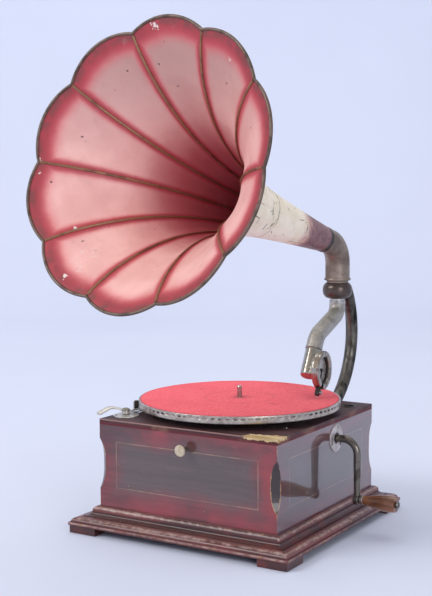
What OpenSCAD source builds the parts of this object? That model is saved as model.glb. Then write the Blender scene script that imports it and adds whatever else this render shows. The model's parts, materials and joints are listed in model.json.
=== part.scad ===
// Table gramophone: a wound spring motor in a polished case turns the platter, and a
// swan-neck tone arm carries the sound to a flower horn of curved panels.
// The origin is the middle of the whole outline on the surface that it stands on.
// +X is to the right, the crank's side, -Y is the front and +Z is up.

/* [Place of the spindle] */
// Spindle axis from the origin, along X
spindle_x = -32.9; // [-80:0.1:20]
// Spindle axis from the origin, along Y
spindle_y = 57.5; // [0:0.1:100]

/* [Case] */
// Width of the case
case_w = 292; // [286:1:310]
// Depth of the case
case_d = 303; // [298:1:320]
// Height of the case's top above the table
case_top = 165; // [162:1:172]
// Thickness of the four panels
panel_t = 13; // [12:0.5:15]
// Thickness of the motor board that closes the top
board_t = 8; // [7:0.5:9]
// Depth of the scooped cut in each upright corner
scoop_depth = 10; // [4:0.5:11]
// Lower end of the scooped cuts above the table
scoop_low = 63; // [56:1:75]
// Upper end of the scooped cuts above the table
scoop_high = 137; // [125:1:148]
// Side of the square glue blocks inside the corners
block_side = 16; // [12:1:20]

/* [Inlay] */
// Width of the light line let into each panel
line_w = 1.4; // [1:0.1:2.5]
// Depth of the inlaid line
line_t = 0.8; // [0.6:0.1:2]
// Line from the case's corner, on the front and the rear
line_side_front = 28.5; // [22:0.5:40]
// Line from the case's corner, on the left and the right
line_side_flank = 34.5; // [24:0.5:45]
// Lower line above the table
line_low = 66; // [55:1:80]
// Upper line above the table
line_high = 134; // [115:1:138]

/* [Base] */
// Height of the moulded base, where the case starts
base_h = 37; // [34:1:40]
// Overhang of the base past the case
base_over = 34; // [30:1:40]
// Height of the corner feet
foot_h = 11; // [8:1:14]
// Side of the square corner feet
foot_side = 45; // [36:1:60]
// Feet set back from the base's edge
foot_back = 1.7; // [0.5:0.1:4]
// Height of the upright edge at the bottom of the base
lip_h = 5; // [3:0.5:6]
// Thickness of the bottom board
bottom_t = 8; // [6:0.5:10]

/* [Turntable] */
// Platter's edge inside the case's front and rear
platter_inset = 1.5; // [0.5:0.5:9.5]
// Height of the platter's rim
rim_h = 11.2; // [9:0.1:12]
// Thickness of the platter's rim and plate
platter_t = 2.5; // [1.5:0.1:4]
// Gap between the case's top and the platter's rim
platter_gap = 9.4; // [8.5:0.1:14]
// Thickness of the felt mat
felt_t = 2; // [1:0.1:3]
// Radius of the spindle where the record's hole goes over it
pin_r = 3.6; // [3.4:0.05:3.65]
// Height of the spindle above the felt
pin_h = 17.6; // [10:0.1:22]
// Radius of the spindle below the platter
spindle_r = 4; // [3.8:0.1:5]

/* [Crank] */
// Crank axis behind the spindle
crank_y = 26.3; // [20:0.1:34]
// Crank axis above the table
crank_z = 135; // [134:0.1:138]
// Radius of the crank's rod
rod_r = 5.5; // [4:0.1:5.5]
// Rod past the case before its bend ends
crank_reach = 34; // [30:0.5:45]
// Bend radius of the crank
crank_bend = 21; // [14:0.5:26]
// Length of the crank's arm, from its axis to the handle's axis
crank_arm = 86; // [70:1:92]
// Radius of the pin that the handle turns on
handle_pin_r = 3; // [2.5:0.1:3.5]
// Length of the wooden handle
handle_len = 56; // [45:1:70]
// Largest radius of the handle
handle_r = 11; // [9:0.1:13]
// Radius of the crank's round plate
plate_r = 20.5; // [18:0.1:24]
// Radius of the hole in the crank's plate
plate_hole_r = 8; // [7:0.1:9]
// Thickness of the crank's plate
plate_t = 1.6; // [1:0.1:2.5]

/* [Motor] */
// Tooth size of the winding and great wheels
coarse_m = 1.5; // [1.5:0.01:1.55]
// Tooth size of the second wheel
fine_m = 1.25; // [1.22:0.01:1.25]
// Tooth size of the governor's worm
worm_m = 1; // [0.98:0.01:1.02]
// Teeth of every pinion
pinion_n = 12; // [12:1:12]
// Teeth of the great wheel on the spring barrel
great_n = 64; // [64:1:64]
// Teeth of the second wheel
second_n = 60; // [60:1:60]
// Teeth of the crown wheel that the crank turns
crown_n = 36; // [36:1:36]
// Teeth of the worm wheel on the spindle
worm_wheel_n = 44; // [44:2:44]
// Starts of the governor's worm
worm_starts = 2; // [2:1:2]
// Play between meshing teeth
backlash = 0.3; // [0.2:0.05:0.4]
// Barrel axis to the right of the spindle
barrel_x = 65; // [64:0.5:67]
// Radius of the spring barrel
barrel_r = 42; // [38:0.5:42]
// Height of the spring barrel
barrel_h = 32; // [26:0.5:32]
// Wall of the spring barrel
barrel_t = 2; // [1.5:0.1:3]
// Turns of the mainspring
spring_turns = 9; // [6:1:10]
// Thickness of the mainspring
spring_t = 0.8; // [0.5:0.05:1]
// Thickness of the two motor plates
motor_plate_t = 3; // [2.5:0.1:4]
// Inside height between the motor's plates
motor_h = 87; // [86:0.5:88]
// Height of the four studs between the motor board and the motor
stud_h = 4; // [3:0.5:4.5]
// Clearance between the motor's plates and the right panel
motor_gap = 7; // [5:0.5:9]
// Radius of a governor weight
weight_r = 6; // [5:0.1:6.5]
// Running clearance of a shaft in its bearing
run = 0.06; // [0.03:0.01:0.09]

/* [Speed knob and brake] */
// Radius of the front knob
knob_r = 8.3; // [7:0.1:10]
// How far the knob stands out of the front
knob_out = 16.5; // [13:0.5:20]
// Knob axis above the table
knob_z = 137; // [136:0.1:138]
// Brake pivot inside the case's left side
brake_side = 21; // [18:0.5:24]
// Brake pivot behind the case's front
brake_front = 36.5; // [34:0.5:40]
// Radius of the brake pivot's domed head
brake_head_r = 6.5; // [5:0.1:7]
// Height of the brake's friction block
brake_pad_h = 11; // [8:0.5:12]

/* [Tone arm] */
// Pivot of the tone arm to the right of the spindle
pivot_x = 75; // [70:0.5:80]
// Pivot of the tone arm behind the case's rear
pivot_out = 24.5; // [22.5:0.5:28.5]
// Outer radius of the tone arm's tube
arm_r = 12.5; // [11:0.1:13]
// Wall of the tone arm's tube
arm_t = 1.5; // [1:0.1:2]
// Outer radius of the arm's neck inside the collar
neck_r = 11.8; // [11.5:0.1:12.2]
// Direction of the tone arm, to the right of straight forward
arm_turn = 5; // [-2:0.5:6]
// Height where the pivot axis meets the arm's first slope
arm_start_z = 298.9; // [296:0.1:304]
// Knee of the arm in front of the pivot
knee_a = 86.3; // [82:0.1:90]
// Knee of the arm above the table
knee_z = 273.2; // [270:0.1:276]
// Bend radius at the top of the arm
top_bend = 19; // [17:0.5:20]
// Bend radius at the arm's knee
knee_bend = 34; // [24:0.5:36]
// Bottom face of the collar that carries the arm
collar_z = 322; // [318:0.5:324]
// Height of the collar
collar_h = 25; // [23:0.5:28]
// Largest radius of the collar
collar_r = 23; // [21:0.5:26]

/* [Sound box] */
// Middle of the sound box in front of the pivot
box_a = 116; // [113:0.1:119]
// Middle of the sound box above the table
box_z = 226; // [223:0.1:228]
// Radius of the sound box
box_r = 28.8; // [27:0.1:30]
// Outer radius of the crook
crook_r = 12; // [11:0.1:12.4]
// Length of the crook below the swivel, to the middle of the sound box
crook_len = 31.9; // [31:0.1:34]
// Radius of the opening in front of the diaphragm
mouth_r = 19.5; // [17:0.1:21]
// Slope of the needle below the horizontal
needle_slope = 61.6; // [58:0.2:65]
// Radius of the needle
needle_r = 0.8; // [0.6:0.05:0.9]
// Gap between the needle's tip and the felt
needle_gap = 0.3; // [0.2:0.05:1]

/* [Horn] */
// Height where the horn's axis meets the pivot axis
horn_z = 405.3; // [400:0.1:412]
// Upward tilt of the horn
horn_tilt = 14.3; // [10:0.1:18]
// Turn of the horn, to the right of straight forward
horn_turn = -4.2; // [-8:0.1:4]
// Distance from the pivot axis to the ribs' ends at the mouth
horn_len = 493; // [470:1:510]
// Radius of the mouth at the ribs
horn_mouth_r = 179; // [165:0.5:185]
// Outward swell of each panel at the mouth
petal_swell = 10; // [6:0.5:16]
// Forward reach of each panel at the mouth
petal_forward = 5; // [0:0.5:8]
// Panels of the horn
petals = 10; // [8:1:12]
// Radius of the horn's small end
horn_end_r = 19.5; // [19.3:0.1:21]
// Widening of the horn's neck for each millimetre of length
neck_slope = 0.08; // [0.06:0.005:0.1]
// Wall of the horn
horn_t = 1; // [0.8:0.1:1.6]
// Radius of the wire in the rim
wire_r = 2.2; // [1.6:0.1:3]
// Radius of the bead on each rib
bead_r = 1.5; // [1:0.1:2]
// Outer radius of the elbow
elbow_r = 19; // [18:0.1:19.2]
// Wall of the elbow
elbow_t = 1.8; // [1.2:0.1:2]
// Bend radius of the elbow
elbow_bend = 36; // [34:0.5:38]

/* [Bracket] */
// Bend radius of the bracket's bow
bow_r = 126; // [120:0.5:132]
// Centre of the bow above the table
bow_z = 265; // [262:0.5:268]
// Centre of the bow in front of the case's rear
bow_in = 45.5; // [42.5:0.5:48.5]
// Width of the bow
bow_w = 16; // [13:0.5:20]
// Depth of the bow
bow_d = 15; // [12:0.5:18]
// Thickness of the bracket's foot plate
foot_plate_t = 5; // [4:0.5:7]

/* [Hidden] */
$fn = 64;

// Clearance between a fixed piece and the recess that it sits in
seat = 0.05;
// Depth by which a cutter passes the face that it cuts
past = 1;
// A bent tube's straight lengths run this far into its bends, and stand this far proud of them
lap = 0.5;
proud = 0.1;
// A flat bar's straight sides lie this far inside its round ends
waist = 0.08;

// Case
half_w = case_w / 2;
half_d = case_d / 2;
panel_top = case_top - board_t;
line_faces = [[0, half_d, half_w - line_side_front], [90, half_w, half_d - line_side_flank],
    [180, half_d, half_w - line_side_front], [270, half_w, half_d - line_side_flank]];

// Turntable
platter_r = half_d - platter_inset;
rim_bottom = case_top + platter_gap;
plate_top = rim_bottom + rim_h - 1.2;
felt_top = plate_top + felt_t;
felt_r = platter_r - platter_t - 0.3;
hub_z = case_top + 3;

// Motor
motor_z = panel_top - stud_h - motor_plate_t;
floor_z = motor_z - motor_h;
barrel_at = [barrel_x, crank_y];
pinion_r = coarse_m * pinion_n / 2;
crown_r = coarse_m * crown_n / 2;
great_r = coarse_m * great_n / 2;
second_r = fine_m * second_n / 2;
fine_pinion_r = fine_m * pinion_n / 2;
worm_wheel_r = worm_m * worm_wheel_n / 2;
worm_r = 5 * worm_m;
barrel_far = norm(barrel_at);
reach_great = great_r + pinion_r;
reach_fine = second_r + fine_pinion_r;
along = (reach_fine ^ 2 + barrel_far ^ 2 - reach_great ^ 2) / (2 * barrel_far);
aside = sqrt(reach_fine ^ 2 - along ^ 2);
toward = barrel_at / barrel_far;
second_at = along * toward + aside * [-toward[1], toward[0]];
great_z = floor_z + 5;
great_t = 5;
barrel_z = great_z + great_t;
barrel_top = barrel_z + barrel_h;
cover_t = 2;
second_z = barrel_top + cover_t + 2;
second_t = 2.5;
ratchet_z = second_z + second_t + 2.5;
ratchet_t = 3;
ratchet_n = 36;
ratchet_r = 20;
crown_top = crank_z - pinion_r - 1.25 * coarse_m;
crown_t = 4;
crown_face = 6;
worm_z = crank_z - 13;
worm_wheel_t = 2.5;
governor_y = -worm_wheel_r - worm_r;
governor_left = -76;
governor_right = 20;
governor_r = 2;
weight_x = -39;
weight_out = 14;
weight_seat = 3;
fixed_collar_x = -16;
spring_hub_r = 5.4;
leaf_spring_t = 0.5;
disc_x = -64;
disc_r = 16;
disc_t = 2;
arbor_r = 5;
second_arbor_r = 3.5;
pivot_r = 2.5;
shaft_r = 6;
plate_edge = 8;
motor_right = half_w - panel_t - motor_gap - plate_edge;
motor_corners = [[-90, -75], [motor_right, -75], [motor_right, 82], [-90, 82]];
pillar_r = 4.5;
bearing_x = 104;
bearing_len = 12;
post_r = 3;

// Brake and regulator
brake_at = [brake_side - half_w, brake_front - half_d];
knob_shaft_r = 4;
knob_x = 2;
lever_y = -50;
lever_t = 2;
lever_pivot = [-40, knob_z + 6];
eccentric = 3;
eccentric_r = 2;
pad_gap = 1.9;
pad_at = [disc_x - pad_gap, worm_z];

// Tone arm
pivot_y = half_d + pivot_out;
arm_slope = atan2(arm_start_z - knee_z, knee_a);
tail_slope = atan2(knee_z - box_z, box_a - knee_a);
joint_a = box_a - crook_len * cos(tail_slope);
joint_tail_z = box_z + crook_len * sin(tail_slope);
arm_shoulder = collar_z + 12;
arm_flange_r = neck_r + 3.2;
arm_flange_h = 2.5;
collar_top = collar_z + collar_h;
spigot_r = arm_flange_r + 0.5;

// Sound box, measured along its own axis from the arm's plane
back_y = crook_r + 1.4;
back_t = 2;
wall_y = back_y + back_t;
branch_r = crook_r - 0.6;
leaf_y = wall_y + 3.2;
leaf_t = 0.3;
ring_y = leaf_y + leaf_t + 3;
needle_y = leaf_y + 1;
tip_len = (box_z - felt_top - needle_gap) / sin(needle_slope);
chuck_r = 3.2;
chuck_len = 8;
notch_w = 9;

// Horn
elbow_turn = 90 - horn_tilt;
elbow_tangent = elbow_bend * tan(elbow_turn / 2);
mouth_run = 17;
elbow_end = elbow_tangent + mouth_run;
spigot_h = 9;
horn_start = elbow_end + 3.5;
petal_angle = 360 / petals;
rib_phase = -1.7;
ring_steps = 6;
horn_stations = 24;
rib_stations = 16;
bead_end = 1.8;

// Bracket
bow_y = half_d - bow_in;
bow_top_angle = asin((collar_z + collar_h / 2 - bow_z) / bow_r);
bow_foot_angle = -64;

// Placing

module from_spindle() {
    translate([spindle_x, spindle_y, 0]) children();
}

// Along the arm's direction, to its right and up
module on_arm() {
    from_spindle() translate([pivot_x, pivot_y, 0]) rotate([0, 0, arm_turn - 90]) children();
}

// At the sound box's middle: along the needle, along the box's axis and across
module on_box() {
    on_arm() translate([box_a, 0, box_z]) rotate([0, needle_slope, 0]) children();
}

// At the crook's swivel: along the tail of the arm, along the box's axis and across
module on_crook() {
    on_arm() translate([joint_a, 0, joint_tail_z]) rotate([0, tail_slope, 0]) children();
}

// Turns a shape drawn up Z to lie along the box's axis
module along_box() {
    rotate([-90, 0, 0]) children();
}

// In the horn's upright plane, at the pivot axis
module on_horn_plane() {
    from_spindle() translate([pivot_x, pivot_y, 0]) rotate([0, 0, horn_turn - 90]) children();
}

// Along the horn's axis, to the right and up across it
module on_horn() {
    on_horn_plane() translate([0, 0, horn_z]) rotate([0, -horn_tilt, 0]) children();
}

module at_barrel() {
    from_spindle() translate([barrel_at[0], barrel_at[1], 0]) children();
}

module at_second() {
    from_spindle() translate([second_at[0], second_at[1], 0]) children();
}

module along_x() {
    rotate([0, 90, 0]) children();
}

module along_y() {
    rotate([-90, 0, 0]) children();
}

// Shared shapes

module ring(r_out, r_in, h) {
    difference() {
        cylinder(r = r_out, h = h);
        translate([0, 0, -past]) cylinder(r = r_in, h = h + 2 * past);
    }
}

// A round bar between two points in the upright plane of X and Z
module bar_between(p, q, r, before = 0, after = 0) {
    pitch = atan2(q[1] - p[1], q[0] - p[0]);
    translate([p[0], 0, p[1]]) rotate([0, 90 - pitch, 0]) translate([0, 0, -before])
        cylinder(r = r, h = norm(q - p) + before + after);
}

// A round bar bent about a point in the upright plane of X and Z
module bar_bend(centre, bend_r, from, sweep, r) {
    translate([centre[0], 0, centre[1]]) rotate([90, 0, 0]) rotate([0, 0, from])
        rotate_extrude(angle = sweep) translate([bend_r, 0]) circle(r = r);
}

// Involute gear outline, with a tooth on the X axis
function involute(a) = tan(a) * 180 / PI - a;
function tooth_half(r, pitch_r, n, play) =
    90 / n - play / 4 / pitch_r * 180 / PI + involute(20)
    - (r > pitch_r * cos(20) ? involute(acos(pitch_r * cos(20) / r)) : 0);
function gear_outline(m, n, head, foot, play) = let (p = m * n / 2, root = p - foot * m,
    base = max(root, p * cos(20)), tip = p + head * m,
    radii = [root, base, (base + p) / 2 + 0.001, p, (p + tip) / 2, tip]) [
    for (i = [0:n - 1]) each concat(
        [for (r = radii) let (a = i * 360 / n - tooth_half(r, p, n, play)) r * [cos(a), sin(a)]],
        [for (k = [5:-1:0]) let (r = radii[k], a = i * 360 / n + tooth_half(r, p, n, play))
            r * [cos(a), sin(a)]])];

module gear(m, n, h, bore, head = 0.7, turn = 0) {
    rotate([0, 0, turn]) difference() {
        linear_extrude(height = h) polygon(gear_outline(m, n, head, 1.25, backlash));
        translate([0, 0, -past]) cylinder(r = bore, h = h + 2 * past);
    }
}

module round_head(r, h) {
    rotate_extrude() polygon(concat([[0, 0], [r, 0]],
        [for (a = [15:15:75]) [r * cos(a), h * sin(a)]], [[0, h * sin(75)]]));
}

module screw(head_r, head_h, shank_r, len) {
    difference() {
        round_head(head_r, head_h);
        translate([-head_r - past, -0.35, head_h - 0.8]) cube([2 * (head_r + past), 0.7, 2]);
    }
    translate([0, 0, -len]) cylinder(r = shank_r, h = len);
}

module screw_hole(shank_r, len) {
    translate([0, 0, -len - seat]) cylinder(r = shank_r + seat, h = len + past);
}

// Places of the screws: the crank's plate, the bracket's foot and the brake's plate
screw_r = 1.6;
screw_len = 10;
plate_screw_angles = [50, 170, 290];
foot_plate_z = [case_top - 50, case_top - 6];
foot_plate_w = 42;
bracket_screws = [for (sx = [-1, 1]) for (z = [foot_plate_z[0] + 7, foot_plate_z[1] - 8])
    [pivot_x + sx * (foot_plate_w / 2 - 6), z]];
brake_screws = [[-11, -9], [-3, 41]];
motor_bolt_r = 2;
brake_plate_t = 1.2;

module on_plate_screws() {
    for (a = plate_screw_angles)
        translate([half_w + plate_t, crank_y, crank_z]) along_x()
            rotate([0, 0, a]) translate([plate_r - 4, 0, 0]) children();
}

module on_bracket_screws() {
    for (p = bracket_screws)
        translate([p[0], half_d + foot_plate_t, p[1]]) along_y() children();
}

module on_brake_screws() {
    for (p = brake_screws)
        translate([brake_at[0] + p[0], brake_at[1] + p[1], case_top + brake_plate_t]) children();
}

// Case

// Lens-shaped cuts in the upright corners, deepest in the middle
module corner_scoops() {
    mid = (scoop_low + scoop_high) / 2;
    half = (scoop_high - scoop_low) / 2;
    outline = concat([[20, mid - half]], [for (i = [-10:10]) let (t = i / 10)
        [-scoop_depth * (1 - abs(t) ^ 3) / sqrt(2), mid + half * t]], [[20, mid + half]]);
    for (sx = [-1, 1]) for (sy = [-1, 1])
        translate([sx * half_w, sy * half_d, 0]) rotate([0, 0, atan2(sy, sx)])
            rotate([90, 0, 0]) linear_extrude(height = 6 * scoop_depth, center = true)
                polygon(outline);
}

// A frame of thin strips on each face, drawn from the face inwards
module line_frames(depth) {
    for (f = line_faces)
        rotate([0, 0, f[0]]) translate([0, -f[1] + depth, 0]) rotate([90, 0, 0])
            linear_extrude(height = depth) difference() {
                translate([-f[2], line_low]) square([2 * f[2], line_high - line_low]);
                translate([-f[2] + line_w, line_low + line_w])
                    square([2 * (f[2] - line_w), line_high - line_low - 2 * line_w]);
            }
}

module knob_hole() {
    translate([knob_x, -half_d - past, knob_z]) along_y()
        cylinder(r = knob_shaft_r + run, h = panel_t + 2 * past);
}

module crank_hole() {
    translate([half_w - panel_t - past, crank_y, crank_z]) along_x()
        cylinder(r = plate_hole_r + 2, h = panel_t + 2 * past);
}

cup_side = 21.3;
cup_front = 36.5;
cup_at = [half_w - cup_side, half_d - cup_front];
cup_r = 8;
cup_depth = 13;

module cup_hole() {
    translate([cup_at[0], cup_at[1], case_top - cup_depth - seat])
        cylinder(r = cup_r + 1 + seat, h = cup_depth + past);
}

module panel_blank(w, t) {
    translate([-w / 2, -t / 2, base_h]) cube([w, t, panel_top - base_h]);
}

module front_panel() {
    color("#6b1f22") from_spindle() difference() {
        translate([0, -half_d + panel_t / 2, 0]) panel_blank(case_w, panel_t);
        corner_scoops();
        line_frames(line_t);
        knob_hole();
    }
}

module rear_panel() {
    color("#6b1f22") from_spindle() difference() {
        translate([0, half_d - panel_t / 2, 0]) panel_blank(case_w, panel_t);
        corner_scoops();
        line_frames(line_t);
        on_bracket_screws() screw_hole(screw_r, screw_len);
    }
}

module side_blank(sx) {
    translate([sx * (half_w - panel_t / 2), 0, 0]) rotate([0, 0, 90])
        panel_blank(case_d - 2 * panel_t, panel_t);
}

module left_panel() {
    color("#6b1f22") from_spindle() difference() {
        side_blank(-1);
        corner_scoops();
        line_frames(line_t);
    }
}

module right_panel() {
    color("#6b1f22") from_spindle() difference() {
        side_blank(1);
        corner_scoops();
        line_frames(line_t);
        crank_hole();
        cup_hole();
        on_plate_screws() screw_hole(screw_r, screw_len);
    }
}

module motor_board() {
    color("#3a2a28") from_spindle() difference() {
        translate([-half_w, -half_d, panel_top]) cube([case_w, case_d, board_t]);
        translate([0, 0, panel_top - past]) cylinder(r = spindle_r + 5, h = board_t + 2 * past);
        cup_hole();
        on_brake_screws() screw_hole(screw_r, board_t);
        for (p = motor_corners) translate([p[0], p[1], panel_top - past])
            cylinder(r = motor_bolt_r + seat, h = board_t + 2 * past);
    }
}

module bottom_board() {
    color("#8a6a48") from_spindle()
        translate([-half_w + panel_t, -half_d + panel_t, foot_h])
            cube([case_w - 2 * panel_t, case_d - 2 * panel_t, bottom_t]);
}

// Base moulding: bead, cove, fillet, ovolo and upright edge, from the case outwards
function arc(cx, cz, rx, rz, from, to, steps = 5) =
    [for (i = [0:steps]) let (a = from + (to - from) * i / steps) [cx + rx * cos(a), cz + rz * sin(a)]];
bead_out = 8.5;
cove_out = base_over * 0.53;
ovolo_out = base_over - 3;
moulding = concat([[-panel_t, foot_h], [-panel_t, base_h], [2, base_h]],
    arc(2, base_h - 6.5, bead_out - 2, 6.5, 90, 0),
    [[bead_out, base_h - 9]],
    arc(cove_out, base_h - 9, cove_out - bead_out - 1, 4, 180, 270),
    [[cove_out, base_h - 14]],
    arc(cove_out + 1.5, foot_h + lip_h + 0.6, ovolo_out - cove_out - 1.5, 6.6, 90, 0),
    [[ovolo_out, foot_h + lip_h], [base_over, foot_h + lip_h], [base_over, foot_h]]);

module moulding_side(half_len, out) {
    mitre = 2 * base_over;
    intersection() {
        rotate([90, 0, 90]) translate([0, 0, -half_len - base_over])
            linear_extrude(height = 2 * (half_len + base_over))
                polygon([for (p = moulding) [-out - p[0], p[1]]]);
        linear_extrude(height = base_h + past)
            polygon([[0, half_len - out], [-half_len - mitre, -out - mitre],
                [half_len + mitre, -out - mitre]]);
    }
}

module base_moulding() {
    color("#4f1d1a") from_spindle() union() {
        moulding_side(half_w, half_d);
        rotate([0, 0, 180]) moulding_side(half_w, half_d);
        rotate([0, 0, 90]) moulding_side(half_d, half_w);
        rotate([0, 0, 270]) moulding_side(half_d, half_w);
    }
}

module corner_feet() {
    out_x = half_w + base_over - foot_back;
    out_y = half_d + base_over - foot_back;
    color("#431a17") from_spindle() for (sx = [-1, 1]) for (sy = [-1, 1])
        translate([sx * (out_x - foot_side / 2), sy * (out_y - foot_side / 2), foot_h / 2])
            cube([foot_side, foot_side, foot_h], center = true);
}

module inlay_lines() {
    color("#c8b48c") from_spindle() difference() {
        line_frames(line_t);
        knob_hole();
        crank_hole();
    }
}

module glue_blocks() {
    low = foot_h + bottom_t;
    high = case_top - cup_depth - 4;
    color("#9a7a50") from_spindle() for (sx = [-1, 1]) for (sy = [-1, 1])
        translate([sx * (half_w - panel_t - block_side / 2),
            sy * (half_d - panel_t - block_side / 2), (low + high) / 2])
            cube([block_side, block_side, high - low], center = true);
}

module crank_escutcheon() {
    color("#d8d2c2") from_spindle() difference() {
        translate([half_w, crank_y, crank_z]) along_x() rotate_extrude()
            polygon([[plate_hole_r, 0], [plate_r, 0], [plate_r, plate_t * 0.5],
                [plate_r - 0.8, plate_t], [plate_hole_r + 0.6, plate_t],
                [plate_hole_r, plate_t * 0.7]]);
        on_plate_screws() screw_hole(screw_r, screw_len);
    }
}

module case_screws() {
    color("#b9b4a8") from_spindle() {
        on_plate_screws() screw(2.8, 1.2, screw_r, screw_len);
        on_bracket_screws() screw(3.4, 1.8, screw_r, screw_len);
        on_brake_screws() screw(2.6, 1.2, screw_r, board_t - 1);
        for (p = motor_corners) translate([p[0], p[1], case_top])
            screw(3.4, 1.4, motor_bolt_r, board_t);
    }
}

module needle_cup() {
    color("#b9b4a8") from_spindle() translate([cup_at[0], cup_at[1], 0]) rotate_extrude()
        polygon([[0, case_top - cup_depth], [cup_r + 1, case_top - cup_depth],
            [cup_r + 1, case_top], [cup_r + 3, case_top], [cup_r + 2.4, case_top + 0.9],
            [cup_r, case_top + 0.9], [cup_r, case_top - cup_depth + 1.2],
            [0, case_top - cup_depth + 1.2]]);
}

// Bracket and collar

// Rounded section of the bow, with a ridge along its back
function bow_section(w, d) = concat(
    [for (a = [-80:20:80]) [d * 0.18 + d * 0.32 * cos(a) ^ 0.7, w / 2 * sin(a)]],
    [for (a = [100:20:260]) [-d * 0.18 + d * 0.32 * cos(a), w / 2 * sin(a)]]);

module bracket_arm() {
    color("#5b5a50") from_spindle() difference() {
        union() {
            translate([pivot_x, bow_y, bow_z]) rotate([90, 0, 90])
                rotate([0, 0, bow_foot_angle])
                    rotate_extrude(angle = bow_top_angle - bow_foot_angle)
                        translate([bow_r, 0]) polygon(bow_section(bow_w, bow_d));
            // Stub that joins the bow to the collar
            translate([pivot_x, pivot_y + collar_r - 1, collar_z + collar_h / 2]) along_y()
                cylinder(r = bow_w / 2 - 0.5, h = 15);
            // Swelling where the bow meets its foot
            translate([pivot_x, half_d + foot_plate_t - 1, case_top - 16]) along_y()
                cylinder(r1 = bow_w / 2 + 3, r2 = bow_w / 2 - 1, h = 12);
            translate([pivot_x - foot_plate_w / 2, half_d, foot_plate_z[0]])
                cube([foot_plate_w, foot_plate_t, foot_plate_z[1] - foot_plate_z[0]]);
        }
        on_bracket_screws() screw_hole(screw_r, screw_len);
        translate([pivot_x, pivot_y, collar_z]) cylinder(r = collar_r - 0.5, h = collar_h);
    }
}

module pivot_collar() {
    low = collar_z;
    color("#4a3c34") from_spindle() translate([pivot_x, pivot_y, 0]) rotate_extrude()
        polygon(concat([[neck_r + run, low], [neck_r + 2.5, low]],
            arc(collar_r - 7, low + 9, 7, 8, -90, 0), [[collar_r, low + 15]],
            arc(collar_r - 6, low + 15, 6, 9, 0, 80),
            [[spigot_r + 1.2, collar_top], [spigot_r + run, collar_top],
                [spigot_r + run, arm_shoulder], [neck_r + run, arm_shoulder]]));
}

// Brake

brake_plate_r = 14;
brake_plate_far = [-3, 36];
brake_post_top = case_top + brake_plate_t + 7;

module pill(p, r, h) {
    turn = atan2(p[1], p[0]);
    cylinder(r = r, h = h);
    translate([p[0], p[1], 0]) cylinder(r = r, h = h);
    rotate([0, 0, turn]) translate([0, waist - r, 0]) cube([norm(p), 2 * (r - waist), h]);
}

module brake_plate() {
    color("#b9b4a8") from_spindle() {
        difference() {
            union() {
                translate([brake_at[0], brake_at[1], case_top])
                    pill(brake_plate_far, 10, brake_plate_t);
                translate([brake_at[0] - 4, brake_at[1] - 4, case_top])
                    cylinder(r = brake_plate_r, h = brake_plate_t);
            }
            on_brake_screws() screw_hole(screw_r, board_t);
        }
        translate([brake_at[0], brake_at[1], case_top + brake_plate_t / 2])
            cylinder(r = post_r, h = brake_post_top - case_top - brake_plate_t / 2);
        translate([brake_at[0], brake_at[1], brake_post_top]) round_head(brake_head_r, 4);
    }
}

brake_bar_z = case_top + brake_plate_t + 2.2;
brake_bar_t = 2.4;
brake_bend_at = [-17, -8];
brake_tip_at = [-32, -50];
rim_gap = 0.3;
brake_pad_w = 6.5;
brake_pad_t = 6;
brake_pad_turn = 212.1;
brake_heel = (platter_r + rim_gap + brake_pad_t / 2) * [cos(brake_pad_turn), sin(brake_pad_turn)]
    - brake_at;

module flat_bar(p, q, r, h) {
    translate([p[0], p[1], 0]) pill(q - p, r, h);
}

module brake_lever() {
    color("#b9b4a8") from_spindle() translate([brake_at[0], brake_at[1], brake_bar_z])
        difference() {
            union() {
                cylinder(r = 6, h = brake_bar_t);
                cylinder(r = 4.6, h = brake_bar_t + 1.8);
                flat_bar([0, 0], brake_heel, 3, brake_bar_t);
                flat_bar([0, 0], brake_bend_at, 2.6, brake_bar_t);
                translate([brake_bend_at[0], brake_bend_at[1], brake_bar_t / 2])
                    rise_bar(brake_tip_at - brake_bend_at, 7, 2.2);
            }
            translate([0, 0, -past]) cylinder(r = post_r + run, h = 10);
        }
}

// A round bar that rises as it goes, with a rounded tip
module rise_bar(run_out, rise, r) {
    len = norm([run_out[0], run_out[1], rise]);
    rotate([0, 0, atan2(run_out[1], run_out[0])]) rotate([0, 90 - asin(rise / len), 0]) {
        cylinder(r = r, h = len);
        translate([0, 0, len]) sphere(r = r + 0.8);
        sphere(r = r);
    }
}

module brake_pad() {
    color("#2c2420") from_spindle() rotate([0, 0, brake_pad_turn])
        translate([platter_r + rim_gap, -brake_pad_w / 2, brake_bar_z + brake_bar_t])
            cube([brake_pad_t, brake_pad_w, brake_pad_h]);
}

// Motor

module plate_outline() {
    low = motor_corners[0];
    high = motor_corners[2];
    edge = [plate_edge, plate_edge];
    translate(low - edge) square(high - low + 2 * edge);
}

module motor_top_plate() {
    color("#8f8b80") from_spindle() {
        translate([0, 0, motor_z]) linear_extrude(height = motor_plate_t) difference() {
            plate_outline();
            circle(r = spindle_r + 1 + run);
            translate(barrel_at) circle(r = 4 + run);
            translate(second_at) circle(r = pivot_r + run);
            for (p = motor_corners) translate(p) circle(r = motor_bolt_r + seat);
        }
        // Studs that hold the motor under its board
        for (p = motor_corners) translate([p[0], p[1], motor_z + motor_plate_t])
            ring(6, motor_bolt_r + seat, stud_h);
    }
}

module motor_bottom_plate() {
    color("#8f8b80") from_spindle() difference() {
        translate([0, 0, floor_z - motor_plate_t]) linear_extrude(height = motor_plate_t)
            difference() {
                plate_outline();
                circle(r = pivot_r + run);
                translate(barrel_at) circle(r = 4 + run);
                translate(second_at) circle(r = pivot_r + run);
            }
    }
}

module motor_pillars() {
    color("#a7a398") from_spindle() for (p = motor_corners)
        translate([p[0], p[1], floor_z]) cylinder(r = pillar_r, h = motor_h);
}

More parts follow.
